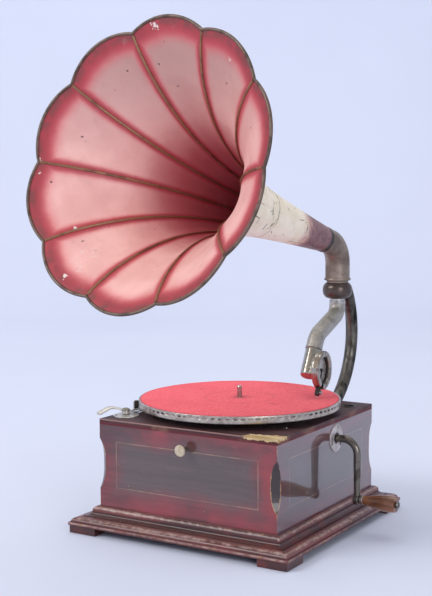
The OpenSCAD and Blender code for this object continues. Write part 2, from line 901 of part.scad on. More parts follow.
module motor_bearings() {
    color("#7d7a70") from_spindle() {
        // Bearing of the winding shaft
        difference() {
            union() {
                translate([bearing_x, crank_y, crank_z]) along_x()
                    cylinder(r = shaft_r + 4, h = bearing_len);
                translate([bearing_x, crank_y - 8, crank_z])
                    cube([bearing_len, 16, motor_z - crank_z]);
            }
            translate([bearing_x - past, crank_y, crank_z]) along_x()
                cylinder(r = shaft_r + run, h = bearing_len + 2 * past);
        }
        // Two bearings of the governor
        for (x = [governor_left, governor_right - 4]) difference() {
            union() {
                translate([x, governor_y, worm_z]) along_x() cylinder(r = 5, h = 4);
                translate([x, governor_y - 4, worm_z]) cube([4, 8, motor_z - worm_z]);
            }
            translate([x - past, governor_y, worm_z]) along_x()
                cylinder(r = governor_r + run, h = 4 + 2 * past);
        }
        // Post of the regulator's lever
        translate([lever_pivot[0], lever_y - 6, lever_pivot[1]]) along_y()
            cylinder(r = post_r, h = 6 + lever_t + 1);
        translate([lever_pivot[0] - 4, lever_y - 8, lever_pivot[1] - 4])
            cube([8, 6, motor_z - lever_pivot[1] + 4]);
        // Post of the pawl
        translate([barrel_at[0], barrel_at[1] + 34, ratchet_z + ratchet_t + 0.4])
            cylinder(r = post_r, h = motor_z - ratchet_z - ratchet_t - 0.4);
    }
}

module ratchet_pawl() {
    tip = [-18, -34 + 10];
    color("#a7a398") from_spindle() translate([barrel_at[0], barrel_at[1] + 34, ratchet_z])
        difference() {
            union() {
                cylinder(r = post_r + 1, h = ratchet_t + 0.4);
                linear_extrude(height = ratchet_t)
                    polygon([[-3.5, 1.5], [tip[0] - 1.4, tip[1] + 5], tip + [1, 1.3], [1, -3.6]]);
            }
            translate([0, -34, -past]) cylinder(r = ratchet_r + 0.3, h = 8);
        }
}

// Turntable

module platter() {
    r = platter_r;
    color("#b7b2a6") from_spindle() rotate_extrude($fn = 128) union() {
        polygon([[spindle_r + seat, hub_z], [13, hub_z], [14, hub_z + 1],
            [14, plate_top - platter_t - 3], [18, plate_top - platter_t],
            [r - platter_t, plate_top - platter_t], [r - platter_t, rim_bottom + 0.8],
            [r - platter_t + 0.8, rim_bottom], [r - 0.8, rim_bottom], [r, rim_bottom + 0.8],
            [r, rim_bottom + rim_h - 0.8], [r - 0.8, rim_bottom + rim_h],
            [r - platter_t, rim_bottom + rim_h], [r - platter_t, plate_top],
            [spindle_r + seat, plate_top]]);
    }
}

module felt_mat() {
    r = felt_r;
    color("#e0606a") from_spindle() rotate_extrude($fn = 128)
        polygon([[spindle_r + 0.4, plate_top], [r, plate_top], [r, felt_top - 0.7],
            [r - 0.7, felt_top], [spindle_r + 0.4, felt_top]]);
}

module spindle() {
    tip = felt_top + pin_h;
    color("#a7a398") from_spindle() {
        rotate_extrude() polygon([[0, floor_z - motor_plate_t], [pivot_r, floor_z - motor_plate_t],
            [pivot_r, floor_z], [spindle_r, floor_z + 1.5], [spindle_r, motor_z - 1.5],
            [spindle_r + 1, motor_z - 1.5], [spindle_r + 1, motor_z + motor_plate_t],
            [spindle_r, motor_z + motor_plate_t + 1], [spindle_r, hub_z - 2], [9, hub_z - 2],
            [9, hub_z], [spindle_r, hub_z], [spindle_r, felt_top - 0.4],
            [pin_r, felt_top], [pin_r, tip - 2.4], [pin_r * 0.8, tip - 0.8],
            [pin_r * 0.4, tip - 0.1], [0, tip]]);
        translate([0, 0, second_z - 2.5]) rotate([0, 0, fine_pinion_turn])
            linear_extrude(height = 7)
                polygon(gear_outline(fine_m, pinion_n, 0.8, 1.1, backlash));
    }
}

// Turns of the wheels that put tooth to gap at rest
great_line = atan2(second_at[1] - barrel_at[1], second_at[0] - barrel_at[0]);
second_line = atan2(-second_at[1], -second_at[0]);
half_tooth = 180 / pinion_n;
second_pinion_turn = great_line + 180 - half_tooth;
fine_pinion_turn = second_line + 180 - half_tooth;

module worm_wheel() {
    color("#c2a25a") from_spindle() translate([0, 0, worm_z - worm_wheel_t / 2]) {
        gear(worm_m, worm_wheel_n, worm_wheel_t, spindle_r + seat, 0.7, -90);
        translate([0, 0, worm_wheel_t]) ring(9, spindle_r + seat, 5);
    }
}

module second_arbor() {
    color("#a7a398") at_second() {
        rotate_extrude() polygon([[0, floor_z - motor_plate_t], [pivot_r, floor_z - motor_plate_t],
            [pivot_r, floor_z], [second_arbor_r, floor_z + 1], [second_arbor_r, second_z - 4],
            [8, second_z - 4], [8, second_z], [second_arbor_r, second_z],
            [second_arbor_r, motor_z - 1], [pivot_r, motor_z],
            [pivot_r, motor_z + motor_plate_t], [0, motor_z + motor_plate_t]]);
        translate([0, 0, great_z - 2]) rotate([0, 0, second_pinion_turn])
            linear_extrude(height = great_t + 4)
                polygon(gear_outline(coarse_m, pinion_n, 0.8, 1.1, backlash));
    }
}

module second_wheel() {
    color("#c2a25a") at_second() translate([0, 0, second_z])
        gear(fine_m, second_n, second_t, second_arbor_r + seat, 0.7, second_line);
}

module spring_barrel() {
    color("#c2a25a") at_barrel() rotate_extrude() polygon([[arbor_r + run, barrel_z],
        [barrel_r, barrel_z], [barrel_r, barrel_top], [barrel_r - barrel_t, barrel_top],
        [barrel_r - barrel_t, barrel_z + barrel_t], [arbor_r + run, barrel_z + barrel_t]]);
}

module barrel_cover() {
    color("#b8964e") at_barrel() translate([0, 0, barrel_top])
        ring(barrel_r, arbor_r + run, cover_t);
}

module great_wheel() {
    color("#c2a25a") at_barrel() translate([0, 0, great_z])
        gear(coarse_m, great_n, great_t, arbor_r + run, 0.7, great_line);
}

// A flat strip wound in a spiral from the arbor's hub to the barrel's wall
module mainspring() {
    inner = arbor_r + 6;
    outer = barrel_r - barrel_t - spring_t - 0.2;
    steps = spring_turns * 24;
    spiral = [for (i = [0:steps]) let (a = i * 15, r = inner + (outer - inner) * i / steps)
        r * [cos(a), sin(a)]];
    wider = [for (i = [steps:-1:0]) let (a = i * 15,
        r = inner + spring_t + (outer - inner) * i / steps) r * [cos(a), sin(a)]];
    color("#5a6068") at_barrel() translate([0, 0, barrel_z + barrel_t + 1])
        linear_extrude(height = barrel_h - barrel_t - 2) polygon(concat(spiral, wider));
}

module barrel_arbor() {
    hub = arbor_r + 5.8;
    color("#a7a398") at_barrel() rotate_extrude() polygon([[0, floor_z - motor_plate_t],
        [4, floor_z - motor_plate_t], [4, floor_z], [arbor_r, floor_z + 1],
        [arbor_r, barrel_z + barrel_t + 1], [hub, barrel_z + barrel_t + 1],
        [hub, barrel_top - 1], [arbor_r, barrel_top - 1], [arbor_r, motor_z - 1],
        [4, motor_z], [4, motor_z + motor_plate_t], [0, motor_z + motor_plate_t]]);
}

// Crown wheel: upright teeth with straight flanks near the edge of a disc
module crown_wheel() {
    root = -1.25 * coarse_m;
    tip = 0.65 * coarse_m;
    mid = PI * coarse_m / 4 - 1.25 * backlash;
    color("#c2a25a") at_barrel() {
        for (i = [0:crown_n - 1]) rotate([0, 0, (i + 0.5) * 360 / crown_n])
            translate([crown_r - crown_face / 2, 0, crank_z - pinion_r]) rotate([90, 0, 90])
                linear_extrude(height = crown_face) polygon([[-mid + root * tan(20), root - 0.2],
                    [mid - root * tan(20), root - 0.2], [mid - tip * tan(20), tip],
                    [-mid + tip * tan(20), tip]]);
        translate([0, 0, crown_top - crown_t])
            ring(crown_r + crown_face / 2 + 0.5, arbor_r + seat, crown_t);
    }
}

module ratchet_wheel() {
    outline = [for (i = [0:ratchet_n - 1]) each [
        ratchet_r * [cos(i * 360 / ratchet_n), sin(i * 360 / ratchet_n)],
        (ratchet_r - 2) * [cos((i + 0.12) * 360 / ratchet_n), sin((i + 0.12) * 360 / ratchet_n)]]];
    color("#a7a398") at_barrel() translate([0, 0, ratchet_z]) difference() {
        linear_extrude(height = ratchet_t) polygon(outline);
        translate([0, 0, -past]) cylinder(r = arbor_r + seat, h = 8);
    }
}

// Crank

pinion_x = barrel_x + crown_r;
shaft_inner = pinion_x - crown_face / 2;
shaft_outer = half_w - panel_t - 4;
arm_x = half_w + crank_reach;
handle_z = crank_z - crank_arm;

module winding_shaft() {
    color("#a7a398") from_spindle() translate([0, crank_y, crank_z]) {
        translate([shaft_inner, 0, 0]) along_x()
            linear_extrude(height = crown_face)
                polygon(gear_outline(coarse_m, pinion_n, 0.8, 1.1, backlash));
        translate([shaft_inner + crown_face, 0, 0]) along_x()
            cylinder(r = shaft_r, h = shaft_outer - shaft_inner - crown_face);
    }
}

module crank_rod() {
    bend = [arm_x - crank_bend, crank_z - crank_bend];
    color("#8f8a7d") from_spindle() translate([0, crank_y, 0]) {
        bar_between([shaft_outer, crank_z], [arm_x - crank_bend, crank_z], rod_r);
        bar_bend(bend, crank_bend, 0, 90, rod_r);
        translate([arm_x, 0, handle_z + 6]) cylinder(r1 = rod_r - 0.6, r2 = rod_r,
            h = crank_z - crank_bend - handle_z - 6);
        // Flattened eye that holds the handle's pin
        difference() {
            translate([arm_x - 4, 0, handle_z]) along_x() cylinder(r = 8, h = 8);
            translate([arm_x - 5, 0, handle_z]) along_x()
                cylinder(r = handle_pin_r + seat, h = 10);
        }
    }
}

handle_start = arm_x + 4.4;

module handle_pin() {
    color("#8f8a7d") from_spindle() translate([arm_x - 5.5, crank_y, handle_z]) along_x() {
        cylinder(r = handle_pin_r, h = handle_len + 12.5);
        cylinder(r = handle_pin_r + 2, h = 1.5);
        translate([0, 0, handle_len + 12]) round_head(handle_pin_r + 2.4, 3.2);
    }
}

ferrule_len = 6;

module crank_handle() {
    r = handle_r;
    len = handle_len;
    color("#4a2c1c") from_spindle() translate([handle_start + ferrule_len, crank_y, handle_z])
        along_x() rotate_extrude() polygon(concat([[handle_pin_r + run, 0], [r * 0.58, 0]],
            [for (i = [1:9]) let (t = i / 10) [r * (0.58 + 0.42 * sin(t * 120) ^ 1.4), t * (len - 6)]],
            [[r * 0.86, len - 6], [handle_pin_r + run, len - 6]]));
}

module handle_ferrule() {
    color("#b9b4a8") from_spindle() translate([handle_start, crank_y, handle_z]) along_x()
        rotate_extrude() polygon([[handle_pin_r + run, 0], [handle_r * 0.5, 0],
            [handle_r * 0.62, 1], [handle_r * 0.62, ferrule_len], [handle_pin_r + run, ferrule_len]]);
}

// Governor

module on_governor() {
    from_spindle() translate([0, governor_y, worm_z]) children();
}

module governor_shaft() {
    color("#a7a398") on_governor() {
        translate([governor_left - 1, 0, 0]) along_x()
            cylinder(r = governor_r, h = governor_right - governor_left + 2);
        // Fixed collar of the springs
        translate([fixed_collar_x - 3, 0, 0]) along_x() cylinder(r = spring_hub_r, h = 5);
    }
}

// One thread of the worm: a ridge with straight flanks carried round the core
module thread(turn) {
    lead = PI * worm_m * worm_starts;
    turns = 2.6;
    rings = round(turns * 12);
    mid = PI * worm_m / 4 - backlash / 4;
    low = worm_r - 1.3 * worm_m;
    top = worm_r + 0.7 * worm_m;
    section = [[-mid - 1.3 * worm_m * tan(20), low], [mid + 1.3 * worm_m * tan(20), low],
        [mid - 0.7 * worm_m * tan(20), top], [-mid + 0.7 * worm_m * tan(20), top]];
    points = [for (i = [0:rings]) let (a = (i / rings - 0.5) * turns * 360) for (p = section)
        [p[0] + lead * a / 360, p[1] * sin(turn - a + 90), p[1] * cos(turn - a + 90)]];
    sides = [for (i = [0:rings - 1]) for (k = [0:3]) let (a = 4 * i + k, b = 4 * i + (k + 1) % 4)
        each [[a, a + 4, b + 4], [a, b + 4, b]]];
    polyhedron(points, concat(sides, [[0, 1, 2], [0, 2, 3]],
        [[4 * rings, 4 * rings + 2, 4 * rings + 1], [4 * rings, 4 * rings + 3, 4 * rings + 2]]));
}

module governor_worm() {
    half = 10.5;
    color("#a7a398") on_governor() difference() {
        union() {
            translate([-half, 0, 0]) along_x() cylinder(r = worm_r - 1.15 * worm_m, h = 2 * half);
            for (i = [0:worm_starts - 1])
                translate([PI * worm_m * (i - 0.5), 0, 0]) thread(0);
        }
        translate([-half - past, 0, 0]) along_x()
            cylinder(r = governor_r + seat, h = 2 * half + 2 * past);
    }
}

module three_round() {
    for (a = [90, 210, 330]) rotate([a, 0, 0]) children();
}

module governor_weights() {
    color("#6d6f70") on_governor() three_round() translate([weight_x, 0, weight_out]) difference() {
        sphere(r = weight_r);
        translate([-weight_r, -weight_r, -weight_r - weight_seat])
            cube([2 * weight_r, 2 * weight_r, weight_r]);
    }
}

// Bowed leaf springs from the fixed collar to the sliding one
module governor_springs() {
    from = disc_x + disc_t + 0.5;
    to = fixed_collar_x - 1;
    mid = weight_x;
    low = spring_hub_r + seat;
    high = weight_out - weight_seat;
    outline = [[from, low], [from + 2, low], [mid - 8, high - leaf_spring_t], [mid + 8, high - leaf_spring_t],
        [to - 2, low], [to, low], [to, low + leaf_spring_t], [to - 2, low + leaf_spring_t],
        [mid + 8, high], [mid - 8, high], [from + 2, low + leaf_spring_t], [from, low + leaf_spring_t]];
    color("#8f8b80") on_governor() three_round() rotate([90, 0, 0])
        linear_extrude(height = 5, center = true) polygon(outline);
}

module friction_disc() {
    color("#c2a25a") on_governor() translate([disc_x, 0, 0]) along_x() {
        ring(disc_r, governor_r + 0.08, disc_t);
        translate([0, 0, disc_t]) ring(spring_hub_r, governor_r + 0.08, 4);
    }
}

// Regulator: a bell crank that the knob's eccentric rocks against the friction disc

module regulator_lever() {
    pin = [knob_x + eccentric, knob_z];
    pad = [pad_at[0] - 1.7, worm_z - 1];
    slot = eccentric_r + 0.35;
    color("#a7a398") from_spindle() translate([0, lever_y + lever_t, 0]) rotate([90, 0, 0])
        difference() {
            union() {
                translate([lever_pivot[0], lever_pivot[1], 0]) cylinder(r = 6.4, h = lever_t);
                flat_bar(lever_pivot, pin, 5, lever_t);
                flat_bar(lever_pivot, pad, 3.5, lever_t);
                translate([pin[0], pin[1], 0]) cylinder(r = 7, h = lever_t);
            }
            translate([lever_pivot[0], lever_pivot[1], -past])
                cylinder(r = post_r + run, h = lever_t + 2 * past);
            translate([pin[0] - 4, pin[1] - slot, -past])
                cube([8, 2 * slot, lever_t + 2 * past]);
        }
}

module friction_pad() {
    color("#6a4a30") from_spindle()
        translate([pad_at[0] - 3.4, lever_y + lever_t, worm_z - 5])
            cube([3.4, governor_y - lever_y - lever_t - 8, 7]);
}

module speed_knob() {
    stem_out = half_d + knob_out;
    color("#d8d2c2") from_spindle() {
        translate([knob_x, -stem_out + 3.6, knob_z]) along_y()
            cylinder(r = knob_shaft_r, h = stem_out - 3.6 + lever_y - 1);
        translate([knob_x, -stem_out + 3.6, knob_z]) rotate([90, 0, 0]) rotate_extrude()
            polygon([[0, 0], [knob_r - 1.6, 0], [knob_r, 1.2], [knob_r, 2.6],
                [knob_r - 1, 3.6], [0, 3.6]]);
        // Eccentric pin that rocks the lever
        translate([knob_x + eccentric, lever_y - 1.2, knob_z]) along_y()
            cylinder(r = eccentric_r, h = lever_t + 2.4);
        translate([knob_x, lever_y - 3.6, knob_z]) along_y() cylinder(r = 6, h = 2.6);
    }
}

// Tone arm and sound box

module tone_arm() {
    top_tan = top_bend * tan((90 - arm_slope) / 2);
    knee_tan = knee_bend * tan((tail_slope - arm_slope) / 2);
    down = [cos(arm_slope), -sin(arm_slope)];
    tail = [cos(tail_slope), -sin(tail_slope)];
    knee = [knee_a, knee_z];
    top_end = [0, arm_start_z + top_tan];
    slope_start = [0, arm_start_z] + top_tan * down;
    slope_end = knee - knee_tan * down;
    tail_start = knee + knee_tan * tail;
    joint = [joint_a, joint_tail_z];
    knee_centre = slope_end + knee_bend * [-sin(arm_slope), -cos(arm_slope)];
    bore_r = arm_r - arm_t;
    band = top_end[1] + 1.5;
    module bends_and_slopes(r, step, after) {
        bar_bend([top_bend, top_end[1]], top_bend, 180, 90 - arm_slope, r + step);
        bar_between(slope_start, slope_end, r, lap, lap);
        bar_bend(knee_centre, knee_bend, 90 - tail_slope, tail_slope - arm_slope, r + step);
        bar_between(tail_start, joint, r, lap, after);
    }
    color("#a7a59b") on_arm() difference() {
        union() {
            // Upright part, with the bright ring and the flange on the collar's shoulder
            rotate_extrude() polygon([[0, top_end[1] - lap], [arm_r, top_end[1] - lap],
                [arm_r, band - 0.4], [neck_r + 0.8, band], [neck_r + 0.8, band + 3.2],
                [neck_r, band + 3.8], [neck_r, arm_shoulder],
                [arm_flange_r, arm_shoulder],
                [arm_flange_r, arm_shoulder + arm_flange_h], [0, arm_shoulder + arm_flange_h]]);
            bends_and_slopes(arm_r, -proud, 0);
        }
        translate([0, 0, top_end[1] - lap]) rotate_extrude() polygon([[0, 0], [bore_r, 0],
            [bore_r, lap + 1], [neck_r - arm_t, lap + 2], [neck_r - arm_t, collar_top - collar_z + 20],
            [0, collar_top - collar_z + 20]]);
        bends_and_slopes(bore_r, proud, past);
    }
}

swivel_r = arm_r - arm_t - run;
swivel_len = 9;
crook_cap = crook_len + crook_r + 0.8;
crook_bore = crook_r - 3;

// The crook turns in the arm's tail. Its end is closed, and a branch leads to the sound box
module crook() {
    color("#a7a59b") on_crook() difference() {
        union() {
            along_x() rotate_extrude() polygon(concat([[0, -swivel_len], [swivel_r, -swivel_len],
                [swivel_r, 0.6], [crook_r, 0.6]], arc(crook_r - 5, crook_cap - 5, 5, 5, 0, 90),
                [[0, crook_cap]]));
            translate([crook_len, 0, 0]) along_box()
                cylinder(r = branch_r, h = back_y + back_t - 0.2);
        }
        translate([-swivel_len - past, 0, 0]) along_x()
            cylinder(r = crook_bore, h = crook_cap + swivel_len + past - 3);
        translate([crook_len, 0, 0]) along_box() cylinder(r = branch_r - 2, h = back_y + 4);
    }
}

module notch() {
    translate([mouth_r - 2, wall_y + 0.8, -notch_w / 2]) cube([20, 30, notch_w]);
}

module sound_box_body() {
    r = box_r;
    color("#c9c6bd") on_box() {
        difference() {
            union() {
                along_box() rotate_extrude() polygon([[branch_r + seat, back_y],
                    [r - 2.4, back_y], [r, back_y + 2.4], [r, ring_y], [r - 2.6, ring_y],
                    [r - 2.6, leaf_y], [r - 5, leaf_y], [r - 5, wall_y],
                    [branch_r + seat, wall_y]]);
                // Ears that hold the stylus bar's pivots
                for (s = [-1, 1]) translate([r - 1.5, needle_y - 2.6, s > 0 ? 3.5 : -5.5])
                    cube([5.5, 5.2, 2]);
            }
            difference() {
                notch();
                translate([0, 0, 3.5]) cube([60, 60, 10]);
                translate([0, 0, -13.5]) cube([60, 60, 10]);
            }
        }
        for (s = [-1, 1]) translate([r + 1.5, needle_y, s > 0 ? 2.6 : -3.6])
            cylinder(r = 0.8, h = 1);
    }
}

module sound_box_ring() {
    r = box_r;
    color("#c9c6bd") on_box() difference() {
        along_box() rotate_extrude() polygon(concat([[mouth_r, ring_y], [r, ring_y]],
            arc(r - 3, ring_y + 1, 3, 3, 0, 90, 4),
            arc(mouth_r + 2.2, ring_y + 2, 2.2, 2, 90, 180, 3)));
        notch();
    }
}

module diaphragm() {
    color("#d9cfc0") on_box() translate([0, leaf_y, 0]) along_box()
        cylinder(r = box_r - 2.9, h = leaf_t);
}

module stylus_bar() {
    bar_y = leaf_y + leaf_t + 0.8;
    color("#5a5650") on_box() {
        difference() {
            union() {
                // Foot screwed to the middle of the diaphragm
                translate([0, leaf_y + leaf_t, 0]) along_box() cylinder(r = 2.6, h = 2.6);
                translate([0, bar_y, -1.1]) cube([box_r - 1, 1.4, 2.2]);
                translate([box_r - 1.2, needle_y - 2.4, -3.3]) cube([5, 4.8, 6.6]);
                translate([box_r + 2, needle_y, 0]) along_x() cylinder(r = chuck_r, h = chuck_len);
            }
            translate([box_r + 3, needle_y, 0]) along_x()
                cylinder(r = needle_r + seat, h = chuck_len + 4);
            for (s = [-1, 1]) translate([box_r + 1.5, needle_y, s > 0 ? 2.5 : -3.8])
                cylinder(r = 0.8 + run, h = 1.3);
            translate([box_r + 6.5, needle_y, 0]) along_box() cylinder(r = 1.1 + run, h = 6);
        }
    }
}

module needle() {
    color("#9a9a98") on_box() translate([box_r + 3, needle_y, 0]) along_x() {
        cylinder(r = needle_r, h = tip_len - box_r - 3 - 4);
        translate([0, 0, tip_len - box_r - 3 - 4]) cylinder(r1 = needle_r, r2 = 0.15, h = 4);
    }
}

module needle_screw() {
    color("#c9c6bd") on_box() translate([box_r + 6.5, needle_y + needle_r + 0.1, 0]) along_box() {
        cylinder(r = 1.1, h = 5.5);
        translate([0, 0, 3.2]) cylinder(r = 2.9, h = 2.6);
    }
}

// Horn

function neck(s) = horn_end_r + neck_slope * (s - horn_start);
flare = horn_mouth_r - neck(horn_len);
// Radius at the ribs: a slow cone, a long flare and a short curl at the rim
function rib_r(s) = let (t = max(0, (s - horn_start) / (horn_len - horn_start)))
    neck(s) + flare * (0.924 * t ^ 4.67 + 0.076 * t ^ 32);
function rib_slope(s) = (rib_r(s + 0.01) - rib_r(s - 0.01)) / 0.02;
// Share of the panels' full swell at a place along the horn
function swell(s) = max(0, (rib_r(s) - horn_end_r) / (horn_mouth_r - horn_end_r)) ^ 1.2;
function station(i, n) = horn_start + (horn_len - horn_start) * (1 - (1 - i / n) ^ 1.6);
// A point of the horn, at a turn of g from -1 at one rib to 1 at the next
function horn_point(s, turn, g, inward) = let (k = rib_slope(s), w = sqrt(1 + k * k),
    r = rib_r(s) + petal_swell * swell(s) * (1 - g * g) - inward / w,
    x = s + petal_forward * swell(s) ^ 2 * (1 - g * g) + inward * k / w)
    [x, r * cos(turn), r * sin(turn)];
function around(i) = rib_phase + petal_angle * i / ring_steps;
function within(i) = 2 * (i % ring_steps) / ring_steps - 1;

module horn_shell() {
    n = petals * ring_steps;
    m = horn_stations;
    points = [for (side = [0, 1]) for (j = [0:m]) for (i = [0:n - 1])
        horn_point(station(j, m), around(i), within(i), side * horn_t)];
    function at(side, j, i) = side * (m + 1) * n + j * n + i % n;
    outside = [for (j = [0:m - 1]) for (i = [0:n - 1]) each
        [[at(0, j, i), at(0, j + 1, i), at(0, j + 1, i + 1)],
            [at(0, j, i), at(0, j + 1, i + 1), at(0, j, i + 1)]]];
    inside = [for (j = [0:m - 1]) for (i = [0:n - 1]) each
        [[at(1, j, i), at(1, j + 1, i + 1), at(1, j + 1, i)],
            [at(1, j, i), at(1, j, i + 1), at(1, j + 1, i + 1)]]];
    small_end = [for (i = [0:n - 1]) each
        [[at(0, 0, i), at(0, 0, i + 1), at(1, 0, i + 1)], [at(0, 0, i), at(1, 0, i + 1), at(1, 0, i)]]];
    mouth = [for (i = [0:n - 1]) each
        [[at(0, m, i), at(1, m, i + 1), at(0, m, i + 1)], [at(0, m, i), at(1, m, i), at(1, m, i + 1)]]];
    color("#e8a09a") on_horn() {
        polyhedron(points, concat(outside, inside, small_end, mouth));
        // Sleeve that plugs into the elbow
        translate([elbow_end - 16, 0, 0]) along_x() rotate_extrude() polygon([
            [elbow_r - elbow_t - 1.6, 0], [elbow_r - elbow_t - seat, 0],
            [elbow_r - elbow_t - seat, 16], [horn_end_r - 0.5, 16], [horn_end_r - 0.5, 20],
            [elbow_r - elbow_t - 1.6, 20]]);
    }
}

// A thin closed tube of six sides through a list of centres, each with two cross directions
module six_sided(centres, u, v, r, closed) {
    n = len(centres);
    points = [for (i = [0:n - 1]) for (k = [0:5]) centres[i] + r * (cos(60 * k) * u[i]
        + sin(60 * k) * v[i])];
    last = closed ? n - 1 : n - 2;
    sides = [for (i = [0:last]) for (k = [0:5]) let (a = 6 * i + k, b = 6 * i + (k + 1) % 6,
        c = 6 * ((i + 1) % n) + k, d = 6 * ((i + 1) % n) + (k + 1) % 6) each [[a, d, c], [a, b, d]]];
    ends = closed ? [] : concat([for (k = [1:4]) [0, k + 1, k]],
        [for (k = [1:4]) 6 * (n - 1) * [1, 1, 1] + [0, k, k + 1]]);
    polyhedron(points, concat(sides, ends));
}

module horn_beading() {
    n = petals * ring_steps;
    rim = [for (i = [0:n - 1]) horn_point(horn_len, around(i), within(i), horn_t / 2)];
    rim_u = [for (i = [0:n - 1]) [0, cos(around(i)), sin(around(i))]];
    rim_v = [for (i = [0:n - 1]) [1, 0, 0]];
    color("#8d7a4e") on_horn() {
        six_sided(rim, rim_u, rim_v, wire_r, true);
        for (p = [0:petals - 1]) {
            turn = rib_phase + petal_angle * p;
            path = [for (j = [1:rib_stations]) horn_point(station(j, rib_stations)
                - (j == rib_stations ? bead_end : 0), turn, 1, horn_t + bead_r * 0.4)];
            out = [for (j = [1:rib_stations]) let (k = rib_slope(station(j, rib_stations)),
                w = sqrt(1 + k * k)) [-k / w, cos(turn) / w, sin(turn) / w]];
            side = [for (j = [1:rib_stations]) [0, -sin(turn), cos(turn)]];
            six_sided(path, side, out, bead_r, false);
        }
    }
}

module horn_elbow() {
    foot = collar_top;
    up = horn_z - elbow_tangent;
    axis = [cos(horn_tilt), sin(horn_tilt)];
    from = [0, horn_z] + elbow_tangent * axis;
    bore_r = elbow_r - elbow_t;
    lip_r = elbow_r + 1.6;
    to = from + mouth_run * axis;
    color("#8b8175") on_horn_plane() difference() {
        union() {
            // Upright part: spigot that turns in the collar, seating ring, groove and lip
            translate([0, 0, foot]) rotate_extrude() polygon([[0, -spigot_h],
                [spigot_r, -spigot_h], [spigot_r, seat], [spigot_r + 1, seat], [spigot_r + 1, 2.6],
                [elbow_r, 3.4], [lip_r, 4], [lip_r, 6.4], [elbow_r, 7.6],
                [elbow_r, up - foot + lap], [0, up - foot + lap]]);
            bar_bend([elbow_bend, up], elbow_bend, 90 + horn_tilt, elbow_turn, elbow_r - proud);
            translate([from[0], 0, from[1]]) rotate([0, 90 - horn_tilt, 0]) rotate_extrude()
                polygon([[0, -lap], [elbow_r, -lap], [elbow_r, mouth_run - 3.5],
                    [elbow_r + 0.9, mouth_run - 2.8], [elbow_r + 0.9, mouth_run - 0.7],
                    [elbow_r + 0.2, mouth_run], [0, mouth_run]]);
        }
        translate([0, 0, foot]) rotate_extrude() polygon([[0, -spigot_h - past],
            [spigot_r - 2.5, -spigot_h - past], [spigot_r - 2.5, 3], [bore_r, 8],
            [bore_r, up - foot + lap], [0, up - foot + lap]]);
        bar_bend([elbow_bend, up], elbow_bend, 90 + horn_tilt, elbow_turn, bore_r + proud);
        bar_between(from, to, bore_r, lap, past);
    }
}

front_panel();
rear_panel();
left_panel();
right_panel();
motor_board();
bottom_board();
base_moulding();
corner_feet();
inlay_lines();
glue_blocks();
crank_escutcheon();
case_screws();
needle_cup();
bracket_arm();
pivot_collar();
brake_plate();
motor_top_plate();
motor_bottom_plate();
motor_pillars();
motor_bearings();
ratchet_pawl();
platter();
felt_mat();
spindle();
worm_wheel();
second_arbor();
second_wheel();
spring_barrel();
barrel_cover();
great_wheel();
mainspring();
barrel_arbor();
crown_wheel();
ratchet_wheel();
winding_shaft();
crank_rod();
handle_pin();
crank_handle();
handle_ferrule();
governor_shaft();
governor_worm();
governor_weights();
governor_springs();
friction_disc();
regulator_lever();
friction_pad();
speed_knob();
brake_lever();
brake_pad();
tone_arm();
crook();
sound_box_body();
sound_box_ring();
diaphragm();
stylus_bar();
needle();
needle_screw();
horn_elbow();
horn_shell();
horn_beading();
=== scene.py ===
"""Looks of a table gramophone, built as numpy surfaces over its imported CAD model."""
import json
import logging
import math
from dataclasses import dataclass, field
from enum import Enum
from typing import Any, ClassVar, Optional, Sequence, Union

import bmesh
import bpy
import numpy as np
from mathutils import Matrix


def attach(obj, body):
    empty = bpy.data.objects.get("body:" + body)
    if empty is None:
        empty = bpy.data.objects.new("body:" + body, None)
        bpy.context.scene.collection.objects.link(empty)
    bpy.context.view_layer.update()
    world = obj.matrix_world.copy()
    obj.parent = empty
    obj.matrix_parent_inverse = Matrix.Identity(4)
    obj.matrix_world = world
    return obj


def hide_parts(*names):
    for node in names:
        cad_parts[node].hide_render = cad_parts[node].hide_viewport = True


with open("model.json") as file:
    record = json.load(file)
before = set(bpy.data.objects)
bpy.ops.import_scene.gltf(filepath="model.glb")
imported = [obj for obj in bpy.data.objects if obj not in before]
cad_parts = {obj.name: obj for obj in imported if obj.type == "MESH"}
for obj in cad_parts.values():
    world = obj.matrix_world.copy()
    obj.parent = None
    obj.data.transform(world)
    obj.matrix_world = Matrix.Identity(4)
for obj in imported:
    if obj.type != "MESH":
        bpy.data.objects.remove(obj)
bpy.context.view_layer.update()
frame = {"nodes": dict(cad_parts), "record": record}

Array = np.ndarray
Pair = tuple[float, float]
Triple = tuple[float, float, float]
Spot = tuple[float, float, float, float]
Material = bpy.types.Material
MM = 0.001
RIGHT, BACK, UP = (1.0, 0.0, 0.0), (0.0, 1.0, 0.0), (0.0, 0.0, 1.0)
PIVOT = (75.0, 176.0)
QUARTER = math.pi / 2
LOG = logging.getLogger("gramophone")


# Plain geometry, in millimetres from the spindle's foot


def spindle_foot(record: dict) -> Array:
    """Finds the point on the floor under the spindle.

    Args:
        record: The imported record.

    Returns:
        Its place in the row frame, in millimetres.
    """
    for mount in record["mounts"]:
        if mount["name"] == "spindle":
            return np.array([mount["pos_m"][0] / MM, mount["pos_m"][1] / MM, 0.0])
    return np.zeros(3)


FOOT = spindle_foot(frame["record"])


def unit(v: Any) -> Array:
    """Returns vectors scaled to length one along their last axis."""
    v = np.asarray(v, float)
    return v / np.maximum(np.linalg.norm(v, axis=-1, keepdims=True), 1e-12)


def rise(x: Any, low: float, high: float) -> Array:
    """Returns 0 below low, 1 above high and 3t^2 - 2t^3 between."""
    t = np.clip((np.asarray(x, float) - low) / (high - low), 0.0, 1.0)
    return t * t * (3 - 2 * t)


